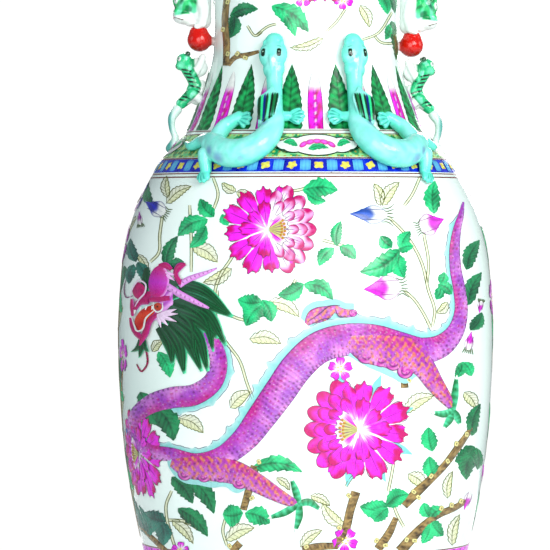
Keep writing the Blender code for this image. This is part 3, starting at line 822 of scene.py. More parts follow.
def dragon_cheek(paint, manes, frills, at):
    """The cheek, the horns, and the crest with the curls behind it."""
    for root, tip, width in (((-100, 334.5), (-101.5, 315.5), 6), ((-87.5, 329.5), (-82, 314.5), 9),
                             ((-86, 314.5), (-88.5, 299), 9)):
        spear(manes, at, root, tip, (width * 0.5, width, width * 0.6), lock_colour, 1.0, 11, 0.3, 1.2)
    strip(paint, at, [(-85, 319.5, 6), (-88, 312.5, 9), (-92, 306, 7), (-96, 302, 2)],
          lambda s, t: mix(SCALE, SCALE_LIGHT, 0.5 + 0.5 * np.sin(s * 12 + t * 5)), 1.1, 9, 0.4, 0.7)
    strip(paint, at, [(-98, 319.5, 3), (-100, 315, 6), (-104.5, 312.5, 4)], face_colour, 1.1, 7, 0.4,
          0.7)
    for horn in ([(-79, 323, 2.4), (-76.5, 325.5, 3.6), (-69.5, 329, 3.4), (-62.5, 331.5, 2.4),
                  (-55.5, 334.5, 0.9)],
                 [(-86.5, 323, 4), (-78, 317.5, 4.2), (-72, 314.5, 3.6), (-65, 311, 2.6),
                  (-60.5, 309, 1.4)]):
        strip(paint, at, horn, horn_colour, 1.3, 7, 0.6, 0.7)
    for curl in ([(-92, 336, 2.4), (-88, 336, 4.2), (-84, 333.5, 2.4)],
                 [(-75, 337, 1.6), (-79, 335.5, 4.4), (-81.5, 331.5, 3.2), (-78, 324, 3.4)],
                 [(-98, 314.5, 3), (-91, 315, 4), (-85, 315.5, 3.4)]):
        strip(paint, at, curl, face_colour, 1.35, 7, 0.6, 0.7)
    for tip in ((-85.5, 331), (-81.5, 330), (-82, 326.5)):
        spear(frills, at, (-90.5, 332), tip, (1.5, 2.2, 0.4), PINK, 1.5)
    disc(paint, at, (-92, 325.5), (6.4, 10.6), crest_colour, -0.12, 1.3, 1.0, 12, 40)


def dragon_snout(paint, frills, at):
    """The curled snout, the open mouth with its teeth and tongue, the eye and the hairs of the jaw."""
    disc(paint, at, (-104.5, 320), (4.2, 5.6),
         lambda r, a: mix(CRIMSON, PLUM, 0.5 + 0.5 * np.sin(5 * r + 2 * a)), 0.3, 1.3, 0.6, 8, 28)
    strip(paint, at, [(-98.5, 313.5, 4.2), (-104, 313, 4.4), (-107, 309, 3.2), (-109, 305, 2)],
          face_colour, 1.3, 7, 0.6, 0.7)
    stroke(frills, at, [(-109.5, 316), (-107.5, 322.5), (-104, 326.5), (-100, 324.5), (-100.5, 318.5),
                        (-104, 314.5), (-106.5, 310)], 1.0,
           mix(PINK, WHITE, 0.5), 2.1)
    disc(paint, at, (-101.5, 308.5), (5.0, 3.0), CYAN_PALE, 0.3, 1.2, 0.1, 5, 24)
    strip(paint, at, [(-90.5, 311, 2.0), (-95.5, 309, 4.6), (-101, 304, 8.6), (-104, 299.5, 7.2),
                      (-104.5, 295, 1.4)],
          lambda s, t: mix(ORANGE, RED, 0.5 + 0.5 * np.sin(s * 9 + t * 2)), 1.35, 9, 0.4, 0.7)
    for lip in ([(-90.5, 306, 2.6), (-95.5, 303.5, 3.4), (-99, 298.5, 3.8), (-100.5, 293.5, 4.2),
                 (-103, 288.5, 2.8), (-104, 285.5, 0.6)],
                [(-103, 290, 3.4), (-106.5, 293.5, 3.6), (-109, 298, 2.8), (-110, 303, 1.2)],
                [(-109, 315, 1.6), (-109, 310, 2.6), (-108.5, 304, 1.2)]):
        strip(paint, at, lip, face_colour, 1.35, 9, 0.8, 0.7)
    stroke(frills, at, [(-94.5, 307.5), (-99.5, 303), (-102.5, 295), (-105, 294.5), (-107, 298.5),
                        (-108.5, 303.5)], 1.0, WHITE, 2.1)
    for x, y in ((-95.5, 310.5), (-99.5, 310.5), (-103, 310), (-106.5, 308)):
        strip(frills, at, [(x, y, 1.5), (x - 0.3, y - 1.3, 1.1), (x - 0.6, y - 2.5, 0.3)], WHITE, 1.95,
              5, 0.3, 0.6)
    disc(paint, at, (-92, 310), (2.4, 2.5),
         lambda r, a: mix(BLACK, mix(ORANGE, UMBER, 0.35), ramp(0.15, 0.32, r)), 0, 2.2, 0.5, 8, 24)
    stroke(frills, at, [(-94.5, 312.5), (-94.5, 308.5), (-92, 306.5), (-89, 308.5), (-89, 312.5)], 0.9,
           WHITE, 2.5)
    for tip in ((-80.5, 308.5), (-79.5, 305.5), (-80.5, 300.5), (-86, 298), (-90.5, 297)):
        spear(frills, at, (-92.5, 305), tip, (1.2, 2.4, 0.3), mix(SCALE_LIGHT, WHITE, 0.5), 1.9)


def dragon_whiskers(paint, manes, at):
    """The beard, the long whisker under the chin and the feeler before the snout."""
    for tip in ((-110, 281.5), (-105, 277.5), (-98.5, 281.5)):
        middle = ((tip[0] - 103) / 2, (tip[1] + 285) / 2, 3.0)
        strip(manes, at, [(-103, 290, 4), middle, (*tip, 0.4)], lock_colour, 0.9, 7, 0.4)
    strip(paint, at, [(-103, 287, 1), (-100.5, 280, 1.3), (-100.5, 273, 1.3), (-104, 269, 1.2),
                      (-107, 273.5, 0.8)],
          lambda s, t: mix(UMBER, CRIMSON, 0.5 + 0.5 * np.sin(s * 50)) + 0 * t[..., None], 0.4, 3, 0.2)
    stroke(paint, at, [(-109, 317), (-114, 316), (-116, 322), (-114.5, 327.5)], 0.8,
           mix(UMBER, SCALE, 0.3), 0.5)


# ---------------------------------------------------------------- the garden scene


WHITE_RUFFLE = (WHITE, WHITE, WHITE, WHITE, PINK, CRIMSON)
ROSE_RUFFLE = (WHITE, PETAL, MAGENTA, MAGENTA, CRIMSON)


def garden(paints, at):
    """The scene that faces the front, and again the back: a dragon among peonies."""
    petals, leaves, stems, frills = (paints[name] for name in ("peonies", "leaves", "stems", "frills"))
    for points in (
        [(-90.5, 370), (-92.5, 355.5), (-93.5, 343.5), (-98.5, 338.5)],
        [(-73.5, 374.5), (-72.5, 352.5), (-72.5, 332)],
        [(-44, 346), (-48.5, 338.5), (-53, 332), (-57, 322), (-53, 292), (-41.5, 275), (-37, 261),
         (-33.5, 252)],
        [(-56, 320.5), (-55, 311), (-44, 303), (-32, 300.5)],
        [(53, 366.5), (62.5, 357), (73.5, 338.5), (78, 320.5), (82, 306.5), (80.5, 298)],
        [(62.5, 320.5), (69, 314.5), (75, 305.5), (79.5, 296.5)], [(75, 356), (78, 338.5), (77, 324)],
        [(-14.5, 384), (-5, 384), (3, 386.5)],
        [(10.5, 352.5), (17.5, 350.5), (25, 348.5)],
        [(-85, 193), (-88.5, 184), (-88, 175), (-85.5, 165.5), (-82, 154.5)],
        [(25.5, 195.5), (29.5, 201.5), (36, 205)], [(52.5, 192.5), (54.5, 202.5), (56, 211)],
        [(62.5, 170), (57.5, 179.5), (55, 187.5)],
        [(-50, 158.5), (-52.5, 168), (-50.5, 176.5)], [(-58.5, 392), (-55.5, 381), (-58, 372.5)],
        [(72.5, 392), (67.5, 381), (62.5, 374)],
        [(-97.5, 238), (-101.5, 225.5), (-105, 206.5)], [(-87.5, 174.5), (-76.5, 173.5), (-67, 168)],
        [(-6, 327.5), (-10, 322), (-15, 319.5)],
    ):
        stem(stems, at, points)
    for tone, rows in (
        (LEAF, [
            ((-58, 367), (-67, 378.5), 10, 0.1), ((-62, 365.5), (-81, 355), 12, -0.12),
            ((-63, 361.5), (-73.5, 347.5), 9, 0.1), ((-2, 384), (20.5, 384), 13, 0.08),
            ((0.5, 381.5), (13, 377), 7, -0.1), ((19.5, 348.5), (22.5, 364.5), 8, 0.1),
            ((21.5, 348.5), (32, 340.5), 9, 0.1), ((18, 347.5), (8.5, 336), 9, -0.12),
            ((-1, 324.5), (-17.5, 317.5), 11, 0.14), ((-1, 324.5), (17.5, 314.5), 11, 0.16),
            ((-27.5, 313), (-43, 314.5), 12, 0.1), ((-26.5, 312), (-38, 298), 13, -0.1),
            ((-27.5, 314.5), (-21.5, 300.5), 11, 0.1), ((60, 346), (34.5, 332), 14, 0.12),
            ((60, 346), (66.5, 358), 9, 0.1), ((58.5, 346), (68.5, 348.5), 8, 0.1),
            ((58.5, 343.5), (62.5, 328.5), 11, -0.1), ((55, 347.5), (47.5, 355), 9, 0.1),
            ((81.5, 369), (82, 390), 11, 0.08), ((84, 324.5), (93, 318), 8, 0.1),
            ((85.5, 323), (83, 314.5), 7, 0.1), ((85.5, 324.5), (88, 332), 7, -0.1),
            ((-34, 207.5), (-2, 205), 11, 0.14), ((-39.5, 179), (-52.5, 178), 15, 0.1),
            ((-38.5, 179), (-22.5, 172.5), 13, 0.1), ((52.5, 183.5), (34.5, 183), 12, 0.12),
            ((51, 183.5), (65.5, 191), 12, 0.12), ((52.5, 182), (43.5, 173.5), 11, -0.12),
            ((80.5, 218), (78, 233.5), 11, 0.06), ((82, 200.5), (78.5, 215), 11, 0.06),
            ((79, 176), (75, 185.5), 9, 0.1), ((79, 176), (87.5, 182), 9, 0.1),
            ((79, 174.5), (74, 159.5), 10, 0.1), ((79.5, 174.5), (87.5, 164.5), 10, -0.1),
            ((99.5, 275), (105.5, 266), 8, 0.1), ((99.5, 275), (95, 265), 7, 0.1),
            ((-93.5, 281.5), (-86, 265), 10, 0.1), ((-49, 361.5), (-53, 369), 6, 0.1),
        ]),
        (DEEP_LEAF, [
            ((-98, 374), (-103, 390.5), 8, 0.1), ((-88.5, 334.5), (-81, 355), 9, 0.1),
            ((-86, 334.5), (-77, 338.5), 8, 0.1), ((-96, 247), (-83.5, 225), 15, 0.12),
            ((-98, 247.5), (-92.5, 235), 12, -0.1), ((-85, 202), (-71.5, 185), 11, 0.08),
            ((-74.5, 202), (-58, 178.5), 12, 0.10), ((-81, 182), (-62, 164), 11, 0.10),
            ((102, 333.5), (111, 352.5), 10, 0.1), ((103, 311), (112, 332), 10, 0.1),
            ((104.5, 295), (112, 306.5), 9, -0.1), ((105.5, 228), (111, 248.5), 9, 0.1),
            ((107, 221.5), (95, 211.5), 11, 0.1), ((107, 221.5), (102, 200), 12, -0.1),
            ((108.5, 220.5), (109.5, 206.5), 8, 0.1), ((-105, 256), (-101.5, 245.5), 9, 0.1),
        ]),
        (TEAL_LEAF, [
            ((-107.5, 338.5), (-112.5, 353.5), 9, 0.1), ((-106.5, 338.5), (-101.5, 325.5), 9, 0.1),
            ((-109, 337), (-112.5, 324.5), 8, -0.1), ((-88.5, 173.5), (-102.5, 179), 12, 0.1),
            ((-92.5, 174.5), (-90.5, 158), 11, 0.1), ((-97.5, 176), (-100, 165.5), 8, 0.1),
            ((-100.5, 164.5), (-111.5, 191), 6, 0.06), ((-98.5, 162), (-106.5, 184), 5, -0.06),
        ]),
    ):
        for i, (base, tip, width, bow) in enumerate(rows):
            leaf(leaves, at, base, tip, width, tone, bow, 5 + i % 3, 0.16 + 0.03 * (i % 4))
    for base, tip, width, bow in (
        ((-88.5, 375.5), (-72.5, 386.5), 7, 0.1), ((-87.5, 379), (-88, 393), 6, 0.1),
        ((-44, 383), (-53, 388.5), 6, 0.1), ((-44, 383), (-36, 379), 6, 0.1),
        ((-72, 348.5), (-56, 338.5), 10, 0.12), ((-46.5, 334.5), (-65, 325.5), 8, 0.1),
        ((-97.5, 281.5), (-91, 288.5), 6, 0.1), ((48.5, 374), (59.5, 389), 8, 0.1),
        ((47.5, 374), (43.5, 388), 7, -0.1), ((-48, 245.5), (-35, 256), 9, 0.1),
        ((-81, 239.5), (-65, 230), 9, 0.12), ((-24, 313.5), (-4, 303.5), 9, 0.14),
        ((-36, 289.5), (-15.5, 286.5), 9, 0.14), ((90.5, 313), (83.5, 306), 6, 0.1),
        ((-85, 174.5), (-71.5, 159.5), 7, 0.1), ((-51, 161.5), (-32.5, 169.5), 9, 0.12),
        ((62.5, 243), (81.5, 253.5), 9, 0.12), ((65, 204), (76, 195.5), 9, 0.1),
        ((90, 188), (93.5, 205.5), 6, 0.1), ((93, 158), (98, 178), 7, 0.1),
        ((100.5, 256), (108.5, 245.5), 8, 0.1), ((25, 169.5), (10.5, 185.5), 8, 0.1),
        ((-3.5, 157), (10.5, 168), 7, 0.1), ((-106.5, 343.5), (-100.5, 331), 5, 0.1),
        ((3, 190), (15.5, 183.5), 6, 0.1), ((-18.5, 201.5), (-10, 193.5), 5, 0.1),
    ):
        pale_leaf(stems, at, base, tip, width, bow)
    for points, knots in (
        ([(105.5, 233, 3), (97, 221, 4.5), (88, 209, 4.5), (79, 200, 5), (68.5, 190, 6),
          (62.5, 183.5, 5)],
         [(102, 229), (95.5, 223), (90, 212), (79.5, 202.5), (68.5, 192.5), (71.5, 189)]),
        ([(104, 188, 2.5), (96, 183, 4), (83, 177, 4.5), (75, 171, 5), (67.5, 163, 6.5),
          (60, 154.5, 7)],
         [(98.5, 186.5), (92.5, 184), (64, 162), (69, 161.5), (86, 182)]),
        ([(32, 192.5, 6), (28.5, 181, 5.5), (25, 167.5, 5.5), (18, 157, 5)],
         [(27.5, 190), (21.5, 169.5)]),
        ([(57.5, 176, 3.5), (53.5, 167, 5), (46, 156, 5.5)], [(45, 161.5), (50.5, 158.5)]),
        ([(-32, 209, 5.5), (-36, 193.5, 5), (-39.5, 181, 4.5)], [(-29.5, 211.5), (-34, 188.5)]),
        ([(-41.5, 160, 5), (-46.5, 154.5, 5)], [(-48, 158)]),
        ([(62.5, 266.5, 4), (63, 258.5, 5)], [(65.5, 263.5)]),
        ([(-2, 155.5, 5), (8, 157.5, 5), (20.5, 158, 4)], [(0.5, 157.5)]),
        ([(-107.5, 172, 2), (-98.5, 164, 3), (-88.5, 154.5, 3.5)], []),
    ):
        branch(stems, at, points, knots)
    peony(petals, leaves, at, (-24, 359), 31, 1, WHITE_RUFFLE)
    peony(petals, leaves, at, (34, 232), 35, -1, ROSE_RUFFLE, sepals=True)
    blossom(petals, at, (22, 270.5), 8, 0.3)
    blossom(petals, at, (25, 161.5), 8.5, 0.9)
    blossom(petals, at, (-79.5, 155), 6, 0.2)
    for centre, length, width, degrees, tone in (
        ((-94.5, 372.5), 14, 10.5, 150, BLUE), ((41.5, 368.5), 22, 12, 178, mix(BLUE, BLUE_PALE, 0.25)),
        ((79, 362.5), 15, 14.5, 20, MAGENTA), ((50.5, 322), 22, 16, 184, MAGENTA),
        ((-105.5, 365.5), 8, 4, 100, SCALE), ((104, 287.5), 11, 6, 80, MAGENTA),
        ((111, 310.5), 7, 4, 260, MAGENTA),
    ):
        bud(petals, leaves, at, centre, length, width, math.radians(degrees), tone)
    bud(petals, leaves, at, (103, 187.5), 11, 5, math.radians(250), MAGENTA, calyx=False)
    dragon_body(paints["dragons"], frills, leaves, at)
    dragon_head(paints["dragons"], leaves, frills, at)
    # The left-hand peony turns out of sight, so it is laid out flat along the wall.
    azimuth = at(np.array(-105.5), np.array(219.5))[0]
    peony(petals, leaves, field(float(azimuth), seen=False), (0, 219.5), 30, -1, ROSE_RUFFLE)


def side_scene(paints, middle):
    """Peonies, leaves, a rock-rose branch and a butterfly between the two scenes."""
    at = field(middle, seen=False)
    petals, leaves, stems = paints["peonies"], paints["leaves"], paints["stems"]
    for points, knots in (
        ([(-2, 165, 7), (4, 190, 6.5), (-3, 220, 6), (3, 250, 5.5), (-4, 285, 5), (4, 318, 4),
          (0, 345, 3)],
         [(4, 196), (-6, 232), (5, 262), (-6, 296)]),
        ([(2, 248, 4.5), (14, 262, 3.5), (22, 276, 2.5)], [(14, 259)]),
        ([(-3, 285, 4), (-16, 300, 3), (-22, 312, 2)], [(-14, 301)]),
    ):
        branch(stems, at, points, knots)
    for i in range(7):
        height, hand = 180 + 28 * i, 1 if i % 2 else -1
        leaf(leaves, at, (hand * 3, height), (hand * 24, height + 14), 13, (LEAF, DEEP_LEAF)[i % 2],
             0.12)
        leaf(leaves, at, (hand * 3, height), (hand * 18, height - 12), 11, (DEEP_LEAF, LEAF)[i % 2],
             -0.12)
        pale_leaf(stems, at, (-hand * 3, height + 6), (-hand * 20, height + 18), 9, 0.12)
    blossom(petals, at, (22, 280), 11, 0.4)
    blossom(petals, at, (-22, 316), 12, 0.1)
    blossom(petals, at, (0, 350), 13, 0.7)
    bud(petals, leaves, at, (-20, 205), 14, 9, 2.4, MAGENTA)
    bud(petals, leaves, at, (21, 232), 14, 9, 0.5, BLUE)
    butterfly(petals, stems, at, (4, 378), 12, 0.4)


# ---------------------------------------------------------------- bands and borders


def wheel(x, y):
    """Places paint by azimuth, in radians, and height."""
    return x, y


def band(paint, low, high, colour, level):
    """A painted ring. colour may be a function of azimuth and height."""
    rows = max(3, int((high - low) / 0.55)) if callable(colour) else 3
    pieces = 900 if callable(colour) else 240
    a = np.linspace(0, 2 * np.pi, pieces + 1)[None]
    h = np.linspace(low, high, rows)[:, None]
    rise = level * np.sin(np.pi * np.linspace(0.12, 0.88, rows))[:, None] ** 0.5
    paint.sheet(wheel, a, h, rise + 0 * a, colour(a, h) if callable(colour) else colour)


def diaper(a, h):
    """Green ground with a net of scrolls and ochre and yellow flower dots."""
    x = a * 85
    scroll = np.sin(x * 0.62 + 1.3 * np.sin(h * 0.9)) + np.sin(h * 1.05 + 1.6 * np.sin(x * 0.31))
    ground = mix(ink(206, 244, 178), ink(120, 226, 160), clouds(x, h, 6))
    ground = mix(ground, ink(34, 168, 110), ramp(0.15, 0.5, scroll))
    ground = mix(ground, MANE_DARK, 0.75 * np.exp(-(((scroll - 0.2) / 0.16) ** 2)))
    dots = np.sin(x * 0.9) * np.sin(h * 1.2)
    return mix(mix(ground, YELLOW, ramp(0.72, 0.9, dots)), OCHRE, ramp(0.74, 0.9, -dots))


def blue_ground(a, h):
    return mix(ink(6, 24, 176), ink(20, 66, 236), clouds(a * 95, h, 8))


def rose_net(a, h):
    """Magenta ground under a net of violet lines."""
    net = np.exp(-((np.abs(np.sin(a * 60) - np.sin(h * 0.9)) / 0.22) ** 2))
    return mix(mix(MAGENTA, PETAL, clouds(a * 102, h, 5)), VIOLET_LINE, 0.7 * net)


def lozenge_band(paint, low, high, count=36):
    """The blue band, with yellow flowers and pale blue blocks by turns."""
    def flower(r, a):
        return mix(YELLOW, OCHRE, 0.5 * r * (np.sin(3 * a) > 0))

    def block_colour(s, t):
        return mix(BLUE_PALE, BLUE, 0.45 * np.abs(t) ** 3 + 0.25 * np.sin(s * 9) ** 2)

    middle, reach = (low + high) / 2, (high - low) / 2
    band(paint, low, high, blue_ground, 0.10)
    for i in range(count):
        at = field(2 * math.pi * i / count, seen=False)
        disc(paint, at, (0, middle), (3.5, reach * 0.62), flower, 0.2 * (i % 3), 0.20, 0.25, 6, 30,
             0.3, 4 + i % 2)
        block = radius(middle) * math.pi / count
        line = [(block - 3.2, middle, reach * 1.55), (block, middle, reach * 1.75),
                (block + 3.2, middle, reach * 1.5)]
        strip(paint, at, line, block_colour, 0.20, 7, 0.12, 0.8)


def leaf_lappet(paint, azimuth, low, high, width):
    """A tall banana leaf, darker towards its edges, with ribs in a herringbone."""
    s, t = np.linspace(0, 1, 56)[:, None], np.linspace(-1, 1, 15)[None]
    half = width / 2 * (1 - s**2.2) * (1 - 0.05 * np.cos(s * 60))
    y = low + (high - low) * s + 0 * t
    ribs = 0.5 + 0.5 * np.cos(2 * np.pi * (s * 10 - 0.9 * np.abs(t)))
    midrib = np.exp(-((t / 0.09) ** 2)) + 0 * s
    blot = clouds(azimuth * 90 + t * half, y, 5) - 0.5
    dark = 0.22 + 0.40 * ribs + 0.45 * midrib + 0.30 * t**2 + 0.8 * blot + 0.4 * s**3
    dark = np.maximum(dark, ramp(0.88, 0.98, np.abs(t)) + 0 * s)
    lift = 0.14 + 0.30 * (1 - np.abs(t) ** 3) - 0.14 * midrib - 0.05 * ribs
    paint.sheet(wheel, azimuth + t * half / radius(y), y, lift,
                mix(ink(40, 206, 122), ink(4, 92, 54), np.clip(dark, 0, 1)))


def rose_lappet(paint, azimuth, low, high, width):
    """A narrow magenta lappet with a white point, outlined and split by fine lines."""
    s, t = np.linspace(0, 1, 40)[:, None], np.linspace(-1, 1, 11)[None]
    half = width / 2 * (1 - s**3) ** 0.7 * (0.84 + 0.16 * s)
    y = low + (high - low) * s + 0 * t
    shade = mix(MAGENTA, CRIMSON, np.clip(1.5 * clouds(t * 9 + azimuth * 40, y, 5) - 0.5 + 0.4 * t, 0,
                                          1))
    lines = np.exp(-(((np.abs(t) - 0.24) / 0.10) ** 2)) * (0.6 + 0.4 * np.sin(y * 1.9))
    shade = mix(shade, VIOLET_LINE, 0.65 * lines)
    dashes = np.exp(-((t / 0.12) ** 2)) * (np.sin(y * 1.3) > 0.2)
    shade = mix(shade, WHITE, np.maximum(ramp(0.60, 0.76, s) + 0 * t, 0.7 * dashes))
    shade = mix(shade, VIOLET_LINE, 0.8 * ramp(0.86, 0.97, np.abs(t)) + 0 * s)
    paint.sheet(wheel, azimuth + t * half / radius(y), y, 0.12 + 0.22 * (1 - t**2) + 0 * s, shade)


def lappets(paint, count, low, high, leaf_width, rose_width, point=1):
    """Leaf and rose lappets by turns. They point up, or down if point is -1."""
    for i in range(count):
        turn = 2 * math.pi * i / count
        rose_low, rose_high = (low, high - 4) if point > 0 else (high, low + 4)
        leaf_low, leaf_high = (low, high) if point > 0 else (high, low)
        rose_lappet(paint, turn, rose_low, rose_high, rose_width)
        leaf_lappet(paint, turn + math.pi / count, leaf_low, leaf_high, leaf_width)


def cartouche(paint, petals, leaves, middle):
    """A lobed white panel in the diaper band, with an arc of petals, a leaf and two sprays."""
    at = field(middle, seen=False)
    height = 411.2
    for tone, grow, level in ((MANE_DARK, 0.9, 0.14), (WHITE, 0, 0.24)):
        for x, reach, tall in ((0, 16, 6.2), (-15, 7, 4.4), (15, 7, 4.4), (-21, 4, 2.6), (21, 4, 2.6)):
            radii = (reach + grow, tall + grow * 0.8)
            disc(paint, at, (x, height), radii, tone, level=level + 0.04 * (x == 0), puff=0.03,
                 segments=36)
    for i in range(-2, 3):
        disc(petals, at, (4.3 * i, height + 2.2 - 0.5 * i * i), (2.9, 1.5),
             lambda r, a: mix(PETAL, CRIMSON, r**2),
             -0.28 * i, 0.36, 0.25, 6, 24)
    leaf(leaves, at, (-6, height - 2.6), (7, height - 2.2), 4.4, LEAF, 0.12, 4, 0.34)
    for hand in (-1, 1):
        leaf(leaves, at, (hand * 12, height - 0.5), (hand * 21, height + 1.6), 4.6, LEAF, 0.15 * hand,
             4, 0.34)
        for reach in (0, 1.6):
            scroll = ((17, 5.2), (24, 3.4), (26, 0), (23, -2.6), (17, -5.0))
            line = [(hand * (x + reach), height + y) for x, y in scroll]
            stroke(leaves, at, line, 0.6, MANE_DARK, 0.36)


def borders(paints):
    """The painted rings and lappets, from the shoulder down to the foot and up to the rim."""
    bands = paints["bands"]
    band(bands, 404.0, 418.2, diaper, 0.09)
    for middle in (0, math.pi / 2, math.pi, 1.5 * math.pi):
        cartouche(bands, paints["peonies"], paints["leaves"], middle)
    lozenge_band(bands, 394.8, 402.8)
    for low, high in ((402.9, 403.7), (393.5, 394.2), (391.3, 392.1), (418.3, 418.8), (420.2, 420.8),
                      (599.4, 600.0), (160.2, 160.9), (148.4, 149.0), (27.2, 27.9)):
        band(bands, low, high, BROWN_LINE, 0.10)
    band(bands, 614.8, 616.4, OCHRE, 0.10)
    band(bands, 13.0, 15.6, blue_ground, 0.10)
    lappets(bands, 14, 421.2, 462.0, 16.5, 11.0)
    band(bands, 149.2, 160.0, rose_net, 0.08)
    lappets(bands, 20, 100.0, 148.0, 15.0, 11.5, -1)
    band(bands, 28.2, 38.0, diaper, 0.09)
    lozenge_band(bands, 18.0, 27.0, 32)
    band(bands, 601.0, 608.0, diaper, 0.09)
    lozenge_band(bands, 608.6, 614.4, 40)


def neck_scene(paints, at):
    """Flowering branches on the upper neck."""
    petals, leaves, stems = paints["peonies"], paints["leaves"], paints["stems"]
    for points, knots in (
        ([(-50.5, 463, 4), (-50, 476, 4.5), (-51, 492, 4.5), (-50, 507.5, 4), (-52, 530, 4),
          (-46.5, 550.5, 3.5), (-35, 568.5, 2.5)],
         [(-49, 470.5), (-52, 486), (-49, 503.5), (-50.5, 526.5)]),
        ([(-49, 463.5, 3), (-45, 468, 3.2), (-37, 470, 3), (-29.5, 472, 2)],
         [(-43, 470.5), (-38, 468)]),
        ([(53.5, 593.5, 2.5), (46, 574.5, 3.4), (48.5, 555.5, 3.4), (38.5, 538, 2.6)], [(46, 566)]),
    ):
        branch(stems, at, points, knots)
    for points in ([(-37, 488.5), (-31.5, 482), (-27.5, 484.5)],
                   [(-31.5, 482), (-22.5, 488.5), (-18.5, 489.5)],
                   [(25.5, 499.5), (20.5, 492), (13, 484.5)], [(55, 497), (45, 483), (36, 479.5)],
                   [(55, 477), (47.5, 478), (43.5, 482)], [(15.5, 530), (19.5, 517.5), (24.5, 508.5)],
                   [(-35, 568.5), (-24, 563), (-16, 553)], [(38.5, 538), (28.5, 535.5), (23, 527.5)]):
        stem(stems, at, points, 1.3)
    for base, tip, width, tone in (
        ((-48, 494.5), (-30, 499), 9, DEEP_LEAF), ((-45.5, 496), (-48, 480.5), 9, DEEP_LEAF),
        ((-21.5, 501), (2, 484.5), 13, LEAF), ((-18.5, 499.5), (-6.5, 481.5), 9, LEAF),
        ((46.5, 508.5), (52, 495.5), 8, LEAF), ((53.5, 507.5), (57.5, 496), 7, DEEP_LEAF),
        ((54.5, 491.5), (57.5, 466.5), 10, DEEP_LEAF), ((53, 489.5), (50.5, 479.5), 6, LEAF),
        ((-73.5, 507.5), (-69, 498), 8, LEAF), ((-27.5, 536.5), (-10, 526.5), 12, LEAF),
        ((-27.5, 536.5), (-18.5, 516), 11, DEEP_LEAF), ((38.5, 538), (55, 524), 12, LEAF),
        ((38.5, 539), (58.5, 544), 11, DEEP_LEAF), ((-16, 553), (0.5, 563), 12, LEAF),
        ((-44, 554.5), (-58, 546.5), 11, DEEP_LEAF), ((46, 568.5), (29.5, 576), 12, LEAF),
        ((50, 576), (67.5, 579.5), 12, DEEP_LEAF), ((-35, 569.5), (-44, 586), 12, LEAF),
        ((-3.5, 586), (14.5, 593.5), 11, LEAF),
    ):
        leaf(leaves, at, base, tip, width, tone, 0.12, 6)
    for base, tip, width in (((34.5, 501.5), (40.5, 487.5), 7), ((11.5, 480.5), (-10, 474.5), 6),
                             ((-3.5, 545.5), (10.5, 553), 8), ((25.5, 558), (15.5, 568.5), 8),
                             ((-24, 576), (-10, 582.5), 8)):
        pale_leaf(stems, at, base, tip, width)
    peony(petals, leaves, at, (10.5, 521.5), 20, 1, WHITE_RUFFLE)
    peony(petals, leaves, at, (4, 579.5), 17, -1, ROSE_RUFFLE, sepals=True)
    blossom(petals, at, (-1.5, 506), 6, 0.3)
    blossom(petals, at, (24, 505), 6.5, 0.8)
    blossom(petals, at, (-30, 550.5), 9, 0.5)
    blossom(petals, at, (57.5, 563), 9, 0.2)
    bud(petals, leaves, at, (42, 520), 11, 8, 2.2, MAGENTA)


# ---------------------------------------------------------------- modelled creatures


def spot(azimuth, height, lift):
    """A point of the wall in millimetres, from an azimuth in degrees."""
    return on_wall(np.radians(azimuth), np.array(float(height)), lift) / MM


def wall_axes(azimuth, height):
    """Columns: along the girth, up the wall, and out of it."""
    a, h = math.radians(azimuth), 0.5
    around = np.array([math.cos(a), math.sin(a), 0])
    up = spot(azimuth, height + h, 0) - spot(azimuth, height - h, 0)
    up /= np.linalg.norm(up)
    return np.stack([around, up, np.cross(around, up)], 1)


class Clay:
    """Lumps and coils of clay, pressed into one body."""

    def __init__(self):
        self.points, self.faces, self.count = [], [], 0

    def lump(self, centre, radii, axes=None):
        shape = SPHERE_POINTS * np.array(radii, float)
        if axes is not None:
            shape = shape @ np.asarray(axes).T
        self.points.append(shape + np.array(centre, float))
        self.faces.append(SPHERE_FACES + self.count)
        self.count += len(shape)

    def coil(self, line):
        """A tapered coil through (x, y, z, radius) points."""
        line = np.array(line, float)
        length = np.linalg.norm(np.diff(line[:, :3], axis=0), axis=1).sum()
        for x, y, z, r in smooth_line(line, max(4, int(length / (0.22 * line[:, 3].min() + 0.25))), 3):
            self.lump((x, y, z), (r, r, r))

    def press(self, voxel, rounds):
        """Welds everything into one skin, smooths it, and returns its points and faces."""
        mesh = bpy.data.meshes.new("clay")
        mesh.from_pydata(np.concatenate(self.points).tolist(), [], np.concatenate(self.faces).tolist())
        thing = bpy.data.objects.new("clay", mesh)
        bpy.context.scene.collection.objects.link(thing)
        weld = thing.modifiers.new("weld", "REMESH")
        weld.mode, weld.voxel_size = "VOXEL", voxel
        soften = thing.modifiers.new("soften", "SMOOTH")
        soften.factor, soften.iterations = 0.5, rounds
        fired = bpy.data.meshes.new_from_object(thing.evaluated_get(bpy.context.evaluated_depsgraph_get()))
        points = np.empty(len(fired.vertices) * 3, np.float32)
        fired.vertices.foreach_get("co", points)
        faces = np.array([list(p.vertices) for p in fired.polygons if len(p.vertices) == 4])
        bpy.data.objects.remove(thing)
        bpy.data.meshes.remove(mesh)
        bpy.data.meshes.remove(fired)
        return points.reshape(-1, 3).astype(float), faces


def sphere_mesh():
    shape = bmesh.new()
    bmesh.ops.create_icosphere(shape, subdivisions=3, radius=1)
    points = np.array([v.co for v in shape.verts])
    faces = np.array([[v.index for v in f.verts] for f in shape.faces])
    shape.free()
    return points, faces


SPHERE_POINTS, SPHERE_FACES = sphere_mesh()


